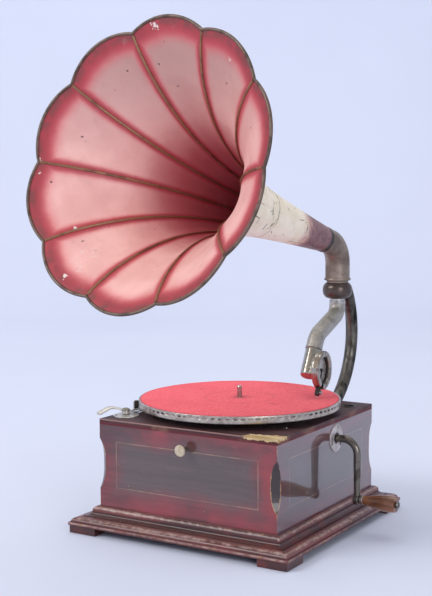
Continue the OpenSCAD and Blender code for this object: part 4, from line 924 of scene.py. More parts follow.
@dataclass(frozen=True)
class TopBoard(Finish):
    """Dull dark top with a pale front edge of wear and painted highlight, and a place that has lost
    its veneer.
    """

    name: str = "dark_board"
    half: Pair = (146.0, 151.5)
    top: float = 165.0

    def build(self, g: Graph) -> Material:
        """Builds the material.

        Args:
            g: Its graph.

        Returns:
            The material.
        """
        x, y, z = g.axis(0), g.axis(1), g.axis(2)
        grain = g.noise(30.0, 6.0, g.stretched((0.18, 2.4, 2.4)), 0.6, 0.3)
        slow = g.noise(55.0, 4.0)
        fray = g.noise(7.0, 5.0)
        base = g.mix(grain.rise(0.3, 0.7), "3b262a", "58383c")
        base = g.mix(slow.rise(0.4, 0.65) * 0.4, base, "5f4a45")
        to_side, to_front = self.half[0] - x.size(), self.half[1] + y
        to_edge = to_side.least(self.half[1] - y.size())
        red = to_edge.rise(16.0, 3.0) * z.rise(self.top - 3.0, self.top - 5.0)
        base = g.mix(red, base, "5c2227")
        # Wear and painted highlight: a pale line along the top's front edge.
        front = (to_front + (fray - 0.5) * 3.0).rise(1.6, 0.6)
        front = front * z.rise(self.top - 2.0, self.top - 1.0)
        base = g.mix(front * 0.6, base, "b58d80")
        rub = (to_edge + (fray - 0.5) * 5.0).rise(1.6, 0.3) * slow.rise(0.5, 0.62)
        base = g.mix(rub * 0.35, base, "a07a62")
        bare = ((x + (fray - 0.5) * 26.0).rise(91.0, 95.0)
                * (y + (fray - 0.5) * 22.0 - x * 0.2).rise(-152.0, -154.0)
                * (z + (fray - 0.5) * 9.0).rise(self.top - 4.5, self.top - 3.5))
        under = g.mix(g.noise(20.0, 5.0, g.stretched((0.3, 2.6, 2.6))).rise(0.35, 0.65),
                      "a98a58", "d9c196")
        base = g.mix(bare, base, g.mix(g.spots(6.0, 0.3, 0.3) * 0.4, under, "7a5a38"))
        rough = (0.44 + 0.25 * slow + 0.3 * bare).least(0.95)
        height = grain * 0.08 + fray * 0.04 - bare * 0.5
        return g.surface(base, rough, 0.0, height, {"Specular IOR Level": 0.34})


@dataclass(frozen=True)
class MouldingWood(Finish):
    """Stained moulding, pale grey along its ridges from wear and painted highlight, chipped to pale
    wood.

    Reads the marks ridge, 1 where the profile stands out and 0 in its hollows, and lengthwise,
    1 where the grain runs from front to back.
    """

    name: str = "moulding_wood"

    def build(self, g: Graph) -> Material:
        """Builds the material.

        Args:
            g: Its graph.

        Returns:
            The material.
        """
        ridge, lengthwise = g.mark("ridge"), g.mark("lengthwise")
        grain_x = g.noise(26.0, 6.0, g.stretched((0.14, 2.2, 2.2)), 0.62, 0.2)
        grain_y = g.noise(26.0, 6.0, g.stretched((2.2, 0.14, 2.2)), 0.62, 0.2)
        grain = grain_x + (grain_y - grain_x) * lengthwise
        fray, slow = g.noise(6.0, 5.0), g.noise(48.0, 4.0)
        base = g.mix(grain.rise(0.3, 0.7), "492523", "7a3d37")
        # Painted shade: the hollows of the profile are darkened.
        base = g.mix(ridge.rise(0.5, 0.1) * 0.65, base, "241011")
        base = g.mix(slow.rise(0.52, 0.7) * 0.5, base, "7a2f2c")
        # Wear and painted highlight: the ridges turn pale grey.
        worn = (ridge + (fray - 0.5) * 1.1 + (grain - 0.5) * 0.8).rise(0.72, 1.2)
        base = g.mix(worn * 0.74, base, "b5a097")
        chip = g.noise(11.0, 5.0).rise(0.635, 0.66) * ridge.rise(0.35, 0.7)
        base = g.mix(chip * 0.8, base, "9b7350")
        base = g.mix(g.spots(10.0, 0.3, 0.1) * 0.6, base, "c09a78")
        rough = 0.34 + 0.3 * worn + 0.25 * chip + 0.1 * fray
        height = grain * 0.18 + fray * 0.1 - chip * 0.5
        return g.surface(base, rough, 0.0, height,
                         {"Coat Weight": 0.3, "Coat Roughness": 0.2})


@dataclass(frozen=True)
class Wood(Finish):
    """Plain wood with its grain along one axis."""

    name: str
    dark: str
    pale: str
    stretch: Triple
    size: float = 20.0
    rough: float = 0.5
    coat: float = 0.0
    wear: str = "8a6848"

    def build(self, g: Graph) -> Material:
        """Builds the material.

        Args:
            g: Its graph.

        Returns:
            The material.
        """
        grain = g.noise(self.size, 6.0, g.stretched(self.stretch), 0.6, 0.5)
        lines = g.noise(self.size / 6, 4.0, g.stretched(self.stretch))
        fray = g.noise(self.size / 3, 4.0)
        base = g.mix(grain.rise(0.3, 0.7), self.dark, self.pale)
        base = g.mix(lines.rise(0.55, 0.75) * 0.5, base, self.dark)
        base = g.mix(fray.rise(0.6, 0.75) * 0.3, base, self.wear)
        rough = self.rough + 0.2 * fray
        return g.surface(base, rough, 0.0, grain * 0.12 + lines * 0.05,
                         {"Coat Weight": self.coat, "Coat Roughness": 0.15})


@dataclass(frozen=True)
class HornPaint(Finish):
    """Paint inside the horn: pale pink panels, sprayed red along ribs, rim and throat, painted
    shade on top.

    Reads the marks border, throat, deep and rim, each 0 to 1, worked out on the mesh. Each chip
    and each hole is a place, in millimetres from the spindle's foot, and a radius.
    """

    name: str = "horn_pink"
    chips: tuple[Spot, ...] = (
        (-64.8, -328.0, 386.8, 3.2), (-52.0, -303.0, 404.0, 1.6), (-48.5, -306.0, 401.0, 1.3),
        (27.6, -256.5, 702.0, 4.2), (33.0, -255.0, 699.0, 2.2), (-136.6, -285.7, 535.2, 2.2),
        (-135.1, -289.3, 517.1, 2.0), (-77.8, -287.2, 446.2, 2.4), (144.9, -267.9, 652.1, 2.6))
    holes: tuple[Spot, ...] = (
        (-90.9, -252.6, 565.0, 1.3), (-87.6, -250.6, 559.5, 1.2), (39.0, -220.6, 627.8, 1.3),
        (129.7, -250.4, 625.1, 1.5), (175.6, -271.9, 569.2, 1.2), (21.9, -238.3, 654.9, 1.0),
        (37.5, -249.9, 681.6, 1.0), (-25.0, -242.2, 648.2, 1.0), (-119.8, -283.4, 506.2, 1.2),
        (-64.9, -289.7, 429.8, 1.5))
    scrape: Spot = (-46.0, -302.0, 408.0, 20.0)

    def build(self, g: Graph) -> Material:
        """Builds the material.

        Args:
            g: Its graph.

        Returns:
            The material.
        """
        border, throat, rim = g.mark("border"), g.mark("throat"), g.mark("rim")
        slow, mid, fine = g.noise(60.0, 4.0), g.noise(16.0, 5.0), g.noise(2.0, 4.0)
        pale = g.mix(slow.rise(0.35, 0.65), "f2bdb3", "e6ada4")
        pale = g.mix(mid.rise(0.55, 0.8) * 0.3, pale, "dda096")
        # Painted shade: the pale panels turn greyer higher up, where the upper panels face down,
        # away from the light.
        pale = g.mix(g.axis(2).rise(520.0, 680.0) * 0.72, pale, "9f776e")
        edge = border.top(rim) + (mid - 0.5) * 0.16 + (slow - 0.5) * 0.14
        base = g.mix(edge.rise(0.0, 0.8) * 0.88, pale, "cf4f5a")
        deep = g.mix(slow.rise(0.3, 0.7), "8e2630", "a8323b")
        base = g.mix(edge.rise(0.36, 0.95) * 0.9, base, deep)
        base = g.mix((throat + (slow - 0.5) * 0.2).rise(0.0, 0.9) * 0.85, base, "ae3f4b")
        base = g.mix(g.mark("deep") * 0.75, base, "9c434c")
        lip = (rim - 0.8).rise(0.0, 0.2) * (mid * 0.6 + slow * 0.4).rise(0.45, 0.56)
        base = g.mix(lip * 0.6, base, "5f3d38")
        scrape = g.chip(self.scrape[:3], self.scrape[3], slow)
        scrape = scrape * fine.rise(0.56, 0.6) * mid.rise(0.5, 0.56)
        base = g.mix(scrape * 0.8, base, "e9ddd2")
        base = g.mix(g.spots(13.0, 0.14, 0.075) * 0.8, base, "4b2a26")
        base = g.mix(g.spots(5.0, 0.05, 0.1) * 0.5, base, "7d3a38")
        base = g.mix(g.noise(30.0, 5.0).rise(0.66, 0.74) * 0.25, base, "a98480")
        fray = g.noise(3.0, 3.0)
        for spots, colour in ((self.chips, "e6dcd2"), (self.holes, "3c211c")):
            for *place, radius in spots:
                base = g.mix(g.chip(place, radius, fray) * 0.85, base, colour)
        rough = 0.36 + 0.2 * mid + 0.1 * fine
        return g.surface(base, rough, 0.0, slow * 0.5 + mid * 0.12 + fine * 0.02,
                         {"Coat Weight": 0.12, "Coat Roughness": 0.3})


@dataclass(frozen=True)
class HornCream(Finish):
    """Paint outside the horn: aged cream with cracks, dusky pink at the small end, painted shadow
    at the elbow.

    Reads the marks down, the distance along the axis in millimetres, border, 1 at the ribs, and
    turn, the share of a turn round the axis.
    """

    name: str = "horn_cream"

    def build(self, g: Graph) -> Material:
        """Builds the material.

        Args:
            g: Its graph.

        Returns:
            The material.
        """
        down, border, turn = g.mark("down"), g.mark("border"), g.mark("turn")
        slow, mid, fine = g.noise(45.0, 4.0), g.noise(12.0, 5.0), g.noise(2.0, 3.0)
        base = g.mix(slow.rise(0.35, 0.65), "f4e9d2", "e8d8ba")
        base = g.mix(mid.rise(0.6, 0.75) * 0.4, base, "c4a982")
        base = g.mix(border.rise(0.6, 1.0) * 0.25 * down.rise(200.0, 380.0), base, "a58f74")
        dusk = g.mix(mid.rise(0.35, 0.65), "71484c", "87605f")
        rosy = (down + (mid - 0.5) * 30.0 + (slow - 0.5) * 24.0).rise(152.0, 122.0)
        base = g.mix(rosy * 0.7, base, "b0605f")
        dusky = (down + (mid - 0.5) * 26.0 + (slow - 0.5) * 20.0).rise(136.0, 112.0)
        base = g.mix(dusky, base, dusk)
        wander = (slow - 0.5) * 16.0 + (mid - 0.5) * 5.0
        rings = (down - 232.0 + wander).size().rise(1.0, 0.4) * g.noise(14.0, 3.0).rise(0.42, 0.5)
        rings = rings.top((down - 252.0 + wander).size().rise(1.2, 0.4) * mid.rise(0.5, 0.55))
        crack = g.cells(42.0, "DISTANCE_TO_EDGE").rise(0.02, 0.006) * mid.rise(0.52, 0.6)
        seam = (turn - 0.62).size().rise(0.012, 0.004) * g.noise(20.0, 3.0).rise(0.4, 0.5)
        chips = g.noise(8.0, 5.0).rise(0.675, 0.7)
        dark = rings.top(crack).top(chips).top(seam * down.rise(330.0, 290.0))
        base = g.mix((dark * 0.85).least(1.0), base, "3a3026")
        # Painted shadow: the last few millimetres of the small end go near black, for the gap
        # inside the elbow's mouth.
        base = g.mix(down.rise(57.0, 52.5) * 0.92, base, "1f1a18")
        rough = 0.42 + 0.2 * mid + 0.2 * dark
        return g.surface(base, rough, 0.0, slow * 0.4 + fine * 0.03 - dark * 0.2,
                         {"Coat Weight": 0.15, "Coat Roughness": 0.3})


@dataclass(frozen=True)
class BandedMetal(Finish):
    """Grainy silvered tone arm with a bright ring, read from the mark bright."""

    name: str = "arm_metal"

    def build(self, g: Graph) -> Material:
        """Builds the material.

        Args:
            g: Its graph.

        Returns:
            The material.
        """
        bright = g.mark("bright")
        grit, slow = g.noise(1.3, 3.0), g.noise(18.0, 5.0)
        dull = g.mix(grit.rise(0.35, 0.65), "97928a", "c2beb4")
        dull = g.mix(slow.rise(0.5, 0.7) * 0.5, dull, "77736a")
        dull = g.mix(g.spots(2.6, 0.2, 0.25) * 0.6, dull, "4d473f")
        polished = g.mix(slow.rise(0.4, 0.7), "c8c4bd", "8c857c")
        base = g.mix(bright, dull, polished)
        rough = 0.44 + 0.12 * grit - 0.28 * bright
        return g.surface(base, rough, 0.8, grit * 0.12 * (1.0 - bright))


@dataclass(frozen=True)
class Mica(Finish):
    """Cloudy mica sheet."""

    name: str = "mica"

    def build(self, g: Graph) -> Material:
        """Builds the material.

        Args:
            g: Its graph.

        Returns:
            The material.
        """
        cloud, flake = g.noise(9.0, 5.0), g.cells(7.0, "SMOOTH_F1")
        base = g.mix(cloud.rise(0.3, 0.7), "8f8782", "c9c2bc")
        base = g.mix(flake.rise(0.2, 0.7) * 0.3, base, "6f6660")
        return g.surface(base, 0.16 + 0.2 * cloud, 0.35, cloud * 0.08,
                         {"Coat Weight": 0.6, "Coat Roughness": 0.08})


@dataclass(frozen=True)
class Enamel(Finish):
    """Smooth pale coat with yellowing, chipped in places to metal."""

    name: str
    colour: str
    aged: str
    metallic: float = 0.25

    def build(self, g: Graph) -> Material:
        """Builds the material.

        Args:
            g: Its graph.

        Returns:
            The material.
        """
        slow, fine = g.noise(8.0, 5.0), g.noise(1.4, 3.0)
        base = g.mix(slow.rise(0.35, 0.7), self.colour, self.aged)
        base = g.mix(g.spots(3.0, 0.16, 0.16) * 0.7, base, "5c5046")
        rough = 0.26 + 0.22 * slow
        return g.surface(base, rough, self.metallic, fine * 0.02 + slow * 0.05)


@dataclass(frozen=True)
class Soft(Finish):
    """Leather or rubber of one dark shade with a fine grain."""

    name: str
    colour: str
    worn: str

    def build(self, g: Graph) -> Material:
        """Builds the material.

        Args:
            g: Its graph.

        Returns:
            The material.
        """
        pebble, slow = g.cells(1.2, "SMOOTH_F1"), g.noise(8.0, 4.0)
        base = g.mix(slow.rise(0.4, 0.7), self.colour, self.worn)
        return g.surface(base, 0.68 + 0.15 * slow, 0.0, pebble * 0.12)


@dataclass(frozen=True)
class Backdrop(Finish):
    """Seamless pale paper of the studio."""

    name: str = "studio_paper"

    def build(self, g: Graph) -> Material:
        """Builds the material.

        Args:
            g: Its graph.

        Returns:
            The material.
        """
        slow = g.noise(900.0, 2.0)
        base = g.mix(slow.rise(0.3, 0.7), "cfd4e4", "d2d7e7")
        return g.surface(base, 0.85 + 0.05 * slow, 0.0, None, {"Specular IOR Level": 0.1})


NICKEL = Nickel()
DULL_NICKEL = Metal("nickel_dull", "b5b1a8", "7b756c", (0.22, 0.4), 0.95, 10.0)
PALE_NICKEL = Metal("nickel_pale", "cdc8c0", "8e877e", (0.34, 0.5), 0.7, 9.0, 0.4)
WARM_NICKEL = Metal("nickel_warm", "aca499", "6f665c", (0.2, 0.38), 0.95, 8.0)
STEEL = Metal("steel_plain", "8d8b88", "5b5651", (0.28, 0.5), 0.95, 12.0, 0.5, 0.02)
ROD_STEEL = Metal("steel_rod", "7b746b", "4a443d", (0.2, 0.36), 0.85, 18.0, 0.6, 0.01, 1.0, 0.16)
DARK_STEEL = Metal("steel_dark", "4b4844", "2c2926", (0.3, 0.5), 0.8, 6.0)
BRASS = Metal("brass_plain", "b89552", "7d6233", (0.22, 0.45), 0.95, 12.0)
LEAD = Metal("lead_plain", "6a6c6e", "4d4e50", (0.5, 0.65), 0.6, 5.0, 0.5, 0.03)
SPRING_STEEL = Metal("steel_spring", "5f6470", "3b3d45", (0.2, 0.4), 0.95, 14.0)
ELBOW_METAL = Metal("elbow_nickel", "96887b", "6e6056", (0.44, 0.58), 0.6, 26.0, 0.6, 0.01, 1.4,
                    0.14)
COLLAR_METAL = CastIron("collar_iron", "5a4e49", "3d332f", "6f4630", 0.4)
BRACKET_METAL = CastIron("bracket_iron", "6f6b64", "1b1917", "5e4237", 1.45)
BEAD_METAL = Metal("bead_brass", "957152", "6b4a38", (0.32, 0.5), 0.45, 24.0, 0.4, 0.02, 1.2, 0.04)
RIM_BEAD_METAL = Metal("rim_bead_metal", "6f5c50", "4a3a33", (0.4, 0.6), 0.4, 14.0, 0.6, 0.05, 1.2,
                       0.12)
PLAIN_WOOD = Wood("wood_plain", "8a6a46", "b18c60", (0.2, 1.6, 1.6), 24.0, 0.6)
HANDLE_WOOD = Wood("wood_handle", "5a3422", "955d3a", (0.25, 1.6, 1.6), 16.0, 0.26, 0.6, "a9764a")
KNOB_CREAM = Enamel("knob_cream", "c9bba4", "a59376", 0.0)
PLATE_WHITE = Enamel("plate_pale", "cfc6c2", "a89d98", 0.6)
PAD_LEATHER = Soft("pad_leather", "241d1a", "3c322c")
GASKET = Soft("gasket_rubber", "1c1917", "2e2926")
HORN_PINK = HornPaint()
HORN_CREAM = HornCream()
VENEER = Veneer()
TOP_BOARD = TopBoard()
MOULDING = MouldingWood()
FELT = Felt()
RIM = RimNickel()
ARM = BandedMetal()
MICA = Mica()


# Sub-assemblies


@dataclass
class Case:
    """Mahogany case with lens-shaped corner cuts, its moulding, feet and needle cup."""

    half: Pair = (146.0, 151.5)
    base_h: float = 37.0
    top: float = 165.0
    board_t: float = 8.0
    scoop: Triple = (63.0, 137.0, 10.0)
    foot_h: float = 11.0
    base_over: float = 34.0
    lip_h: float = 5.0
    foot_side: float = 45.0
    foot_back: float = 1.7
    cup_at: Pair = (124.7, 115.0)
    skin_t: float = 5.0
    proud: float = 0.08
    scoop_t: float = 1.5
    scoop_steps: int = 61
    side_steps: int = 80

    def cut(self, z: Array) -> Array:
        """Returns how far a corner is cut back at a height: depth (1 - |t|^3), t from -1 to 1.

        Args:
            z: Heights.

        Returns:
            The cut at each height.
        """
        low, high, depth = self.scoop
        t = (np.asarray(z, float) - (low + high) / 2) / ((high - low) / 2)
        return depth * (1 - np.clip(np.abs(t), 0, 1) ** 3)

    def veneer(self) -> Surface:
        """Builds the four faces as one skin.

        At a height z each face runs between its two corner cuts, so with c(z) the cut and h the
        face's half length, its columns are (h - c) times a share from -1 to 1. The skin's inner
        wall is a plain rectangle.

        Returns:
            The closed skin, marked with the place across each face.
        """
        low, high, _ = self.scoop
        z = np.concatenate([np.linspace(self.base_h - 2, low, 8)[:-1],
                            eased(low, high, self.scoop_steps),
                            np.linspace(high, self.top - self.board_t, 8)[1:]])
        share = eased(-1, 1, 33)
        cut = self.cut(z)[:, None]
        hw, hd = self.half
        blocks, marks = [], {"across": [], "half": [], "flank": [], "end": []}
        for k, (h, far) in enumerate(((hw, hd), (hd, hw), (hw, hd), (hd, hw))):
            a = (h - cut) * share
            b = np.full_like(a, far)
            blocks.append([(a, -b), (b, a), (-a, b), (-b, -a)][k])
            for key, value in (("across", a), ("half", h), ("flank", k % 2),
                               ("end", h - cut - np.abs(a))):
                marks[key].append(np.broadcast_to(np.asarray(value, float), a.shape))
        x, y = (np.concatenate([block[i] for block in blocks], axis=1) for i in (0, 1))
        z = np.broadcast_to(z[:, None], x.shape)
        outer = np.stack([x, y, z], axis=-1)
        within = np.array(self.half) - self.skin_t
        square = np.clip(np.stack([x, y], -1) * (within / self.half), -within, within)
        inner = np.concatenate([square, z[..., None]], axis=-1)[::-1]
        made = Surface(np.concatenate([outer, inner]), True)
        for key, values in marks.items():
            value = np.concatenate(values, axis=1)
            made.marks[key] = np.concatenate([value, value[::-1]])
        return made

    def scoops(self) -> list[Surface]:
        """Builds the four lens-shaped faces, a hair proud of the skin, marked to be painted in
        shade.

        At a height z a face runs straight across the corner, c(z) back along either side.

        Returns:
            The four faces, each a thin closed shell.
        """
        z = eased(*self.scoop[:2], self.scoop_steps)
        cut, share = self.cut(z)[:, None], np.linspace(0, 1, 9)[None, :]
        made = []
        edge = np.minimum(share, 1 - share) * cut * math.sqrt(2)
        for sx, sy in ((-1, -1), (-1, 1), (1, -1), (1, 1)):
            x = self.half[0] - cut * share + self.proud
            y = self.half[1] - cut * (1 - share) + self.proud
            front = np.stack([sx * x, sy * y, np.broadcast_to(z[:, None], x.shape)], -1)
            back = front - np.array([sx, sy, 0]) * self.scoop_t
            made.append(Surface(np.concatenate([front, back[:, ::-1]], axis=1)).marked(
                across=self.half[0] / 2, half=self.half[0], flank=1.0, scoop=1.0,
                end=np.concatenate([edge, edge[:, ::-1]], axis=1)))
        return made

    def moulding(self) -> Surface:
        """Builds the base moulding: bead, cove, fillet, ovolo and lip, mitred round the case.

        Bead, cove and ovolo are quarter turns of an ellipse. The ridge mark is a bell curve on
        the bead, the ovolo and the lip, of the distance walked along the profile.

        Returns:
            The moulding, slightly uneven where it stands out.
        """
        h, foot, over = self.base_h, self.foot_h, self.base_over
        bead, cove, ovolo = 8.5, over * 0.53, over - 3
        q = np.linspace(0, QUARTER, 12)
        arc_down = np.stack([2 + (bead - 2) * np.sin(q), h - 6.5 + 6.5 * np.cos(q)], 1)
        hollow = np.stack([cove - (cove - bead - 1) * np.cos(q), h - 9 - 4 * np.sin(q)], 1)
        belly = np.stack([cove + 1.5 + (ovolo - cove - 1.5) * np.sin(q),
                          foot + self.lip_h + 0.6 + 6.6 * np.cos(q)], 1)
        lip = rounded([[ovolo, foot + self.lip_h], [over, foot + self.lip_h], [over, foot],
                       [-13, foot]], 1.2, 5)
        section = np.concatenate([[[-13, h], [2, h]], arc_down[1:], [[bead, h - 9]], hollow,
                                  [[cove, h - 14]], belly, lip])
        line = denser(section, 1.2)
        d = walked(line)
        stands = np.zeros(len(line))
        for low, high in ((arc_down[0], arc_down[-1]), (belly[0], belly[-1]), (lip[1], lip[6])):
            a = d[np.argmin(np.linalg.norm(line - low, axis=1))]
            b = d[np.argmin(np.linalg.norm(line - high, axis=1))]
            from_ridge = (d - a - 0.55 * (b - a)) / (0.42 * (b - a) + 0.5)
            stands = np.maximum(stands, np.exp(-from_ridge ** 2))
        made = framed(line, self.half, split=self.side_steps, ring=True)
        side = np.repeat([0.0, 1.0, 0.0, 1.0], self.side_steps)[None, :]
        uneven = ripple(made.points, 14.0, 5) * 0.12 * stands[:, None]
        made.points[..., 2] += np.where(made.points[..., 2] > foot + 1, uneven, 0)
        return made.marked(ridge=stands[:, None], lengthwise=side)

    def feet(self) -> list[Surface]:
        """Builds the four flat corner feet.

        Returns:
            The four feet.
        """
        s = self.foot_side / 2
        x = self.half[0] + self.base_over - self.foot_back - s
        y = self.half[1] + self.base_over - self.foot_back - s
        # A ridge mark of 0.08 gives the feet the painted shade of the moulding's hollows.
        return [board((s, s), 0.0, self.foot_h + 0.2, (sx * x, sy * y), 1.2).marked(ridge=0.08)
                for sx in (-1, 1) for sy in (-1, 1)]

    def cup(self) -> Surface:
        """Builds the needle cup let into the top.

        Returns:
            The cup.
        """
        top = self.top
        section = rounded([[0, top - 13], [9, top - 13], [9, top - 0.2], [11, top - 0.1],
                           [10.6, top + 0.8], [8, top + 0.9], [7.8, top - 9], [4, top - 11.6],
                           [0, top - 11.8]], 0.8, 5)
        return lathe(section, Basis.about((*self.cup_at, 0), UP), 64, False)

    def dress(self) -> None:
        """Builds and dresses every piece of the case."""
        make_piece("case_veneer", [self.veneer(), *self.scoops()], [VENEER], "case",
                   ["front_panel", "rear_panel", "left_panel", "right_panel", "inlay_lines"],
                   30.0)
        make_piece("base_moulding_trim", [self.moulding()], [MOULDING], "case", ["base_moulding"],
                   42.0)
        make_piece("feet_blocks", self.feet(), [MOULDING], "case", ["corner_feet"])
        make_piece("needle_cup_lining", [self.cup()], [DARK_STEEL], "case", ["needle_cup"])


@dataclass
class Turntable:
    """Dished platter with its dimpled rim, the felt on it and the record pin."""

    radius: float = 150.0
    rim_low: float = 174.4
    rim_high: float = 185.6
    wall: float = 2.5
    plate_top: float = 184.4
    felt_top: float = 186.4
    felt_r: float = 147.2
    hole_r: float = 4.4
    basis: Basis = field(default_factory=lambda: Basis.about((0, 0, 0), UP, RIGHT))

    def platter(self) -> Surface:
        """Builds the platter, with its hub underneath.

        Returns:
            The platter.
        """
        r, w, top = self.radius, self.wall, self.plate_top
        section = rounded([[4.05, 168.0], [13, 168.0], [14, 169], [14, top - w - 3], [18, top - w],
                           [r - w, top - w], [r - w, self.rim_low], [r, self.rim_low],
                           [r, self.rim_high], [r - w, self.rim_high], [r - w, top], [4.05, top]],
                          0.8, 5, True)
        return lathe(denser(section, 6.0), self.basis, 288)

    def felt(self) -> Surface:
        """Builds the felt disc, with a slight wave in its face.

        Returns:
            The felt.
        """
        r, low, high = self.felt_r, self.plate_top, self.felt_top
        section = rounded([[self.hole_r, low + 0.02], [r, low + 0.02], [r, high - 0.1],
                           [self.hole_r, high - 0.1]], 0.6, 4, True)
        made = lathe(denser(section, 4.0), self.basis, 192)
        upper = made.points[..., 2] > (low + high) / 2
        made.points[..., 2] += np.where(upper, 0.1 * ripple(made.points, 38.0, 3) - 0.12, 0)
        return made

    def dress(self) -> None:
        """Builds and dresses the turntable."""
        make_piece("platter_plate", [self.platter()], [RIM], "turntable", ["platter"])
        mat = make_piece("felt_cover", [self.felt()], [FELT], "turntable", ["felt_mat"])


@dataclass
class Crank:
    """Bent crank with its escutcheon and turned handle."""

    y: float = 26.3
    z: float = 135.0
    face_x: float = 146.0
    inner_x: float = 129.0
    arm_x: float = 180.0
    drop: float = 86.0
    bend: float = 21.0
    rod_r: float = 5.5
    handle_start: float = 184.4
    handle_len: float = 56.0
    handle_r: float = 12.0
    ferrule: float = 6.0
    bore: float = 3.1

    def across(self, x: float) -> Basis:
        """Returns a basis to the right whose origin is level with the grip, x from the spindle."""
        return Basis.about((x, self.y, self.z - self.drop), RIGHT)

    def rod(self) -> list[Surface]:
        """Builds the bent rod and the flattened eye at its end.

        Returns:
            The rod and the eye.
        """
        low = self.z - self.drop
        path = arc_path([[self.inner_x, self.y, self.z], [self.arm_x, self.y, self.z],
                         [self.arm_x, self.y, low + 5]], [self.bend], 1.5)
        d = walked(path)
        scale = self.rod_r - 0.7 * rise(d, d[-1] - 60, d[-1])
        eye = rounded([[0, -4], [8, -4], [8, 4], [0, 4]], 1.4, 6)
        return [sweep(path, BACK, circle(40), scale),
                lathe(eye, self.across(self.arm_x), 56, False)]

    def handle(self) -> Surface:
        """Builds the pear-shaped grip: r (0.53 + 0.47 sin(118 t)^1.7), t from end to end.

        Returns:
            The grip.
        """
        t = np.linspace(0, 1, 28)[1:]
        grip = self.handle_r * (0.53 + 0.47 * np.sin(np.radians(118 * t)) ** 1.7)
        length = self.handle_len - self.ferrule
        body = np.stack([grip, t * length], axis=1)
        end = rounded([body[-1], [self.handle_r * 0.89, length + 0.01], [self.bore, length]],
                      1.5, 6)
        section = np.concatenate([[[self.bore, 0], [self.handle_r * 0.52, 0]], body[:-1], end])
        return lathe(section, self.across(self.handle_start + self.ferrule), 72)

    def pin(self) -> Surface:
        """Builds the pin through the grip: its riveted head and the dome at the far end.

        Returns:
            The pin.
        """
        far = self.handle_len + 12
        q = np.linspace(0, QUARTER, 10)
        dome = np.stack([5.4 * np.cos(q), far + 3.2 * np.sin(q)], axis=1)
        section = np.concatenate([rounded([[0, 0], [5, 0], [5, 1.5], [3, 1.6], [3, far - 1.5],
                                           [5.0, far - 1.4], [5.4, far]], 0.5, 4), dome])
        return lathe(section, self.across(self.arm_x - 5.5), 48, False)

    def collar(self) -> Surface:
        """Builds the ferrule at the grip's near end."""
        section = rounded([[self.bore, 0], [5.2, 0], [6.8, 1.2], [6.8, self.ferrule],
                           [self.bore, self.ferrule]], 0.6, 5, True)
        return lathe(section, self.across(self.handle_start), 56)

    def plate(self) -> list[Surface]:
        """Builds the round plate on the case, finish 0, and a near-black ring in its hole, finish
        1, as painted shade.

        Returns:
            The plate and its dark ring.
        """
        plate = rounded([[8, 0], [20.5, 0], [20.5, 0.9], [19.2, 1.6], [9, 1.6], [8, 1.0]],
                        0.5, 5, True)
        # Painted shade: a near-black ring in the plate's hole stands in for the dark hole round the
        # rod.
        lining = rounded([[6.4, -1.0], [8.2, -1.0], [8.2, 0.25], [6.4, 0.25]], 0.2, 3, True)
        base = Basis.about((self.face_x, self.y, self.z), RIGHT)
        return [lathe(plate, base, 96), lathe(lining, base, 64, False, 1)]

    def dress(self) -> None:
        """Builds and dresses the crank."""
        make_piece("crank_bar", self.rod(), [ROD_STEEL], "crank", ["crank_rod"])
        make_piece("grip", [self.handle()], [HANDLE_WOOD], "handle", ["crank_handle"])
        make_piece("grip_pin", [self.pin()], [STEEL], "crank", ["handle_pin"])
        make_piece("grip_ferrule", [self.collar()], [DULL_NICKEL], "handle", ["handle_ferrule"])
        make_piece("crank_plate", self.plate(), [PLATE_WHITE, GASKET], "case",
                   ["crank_escutcheon"])


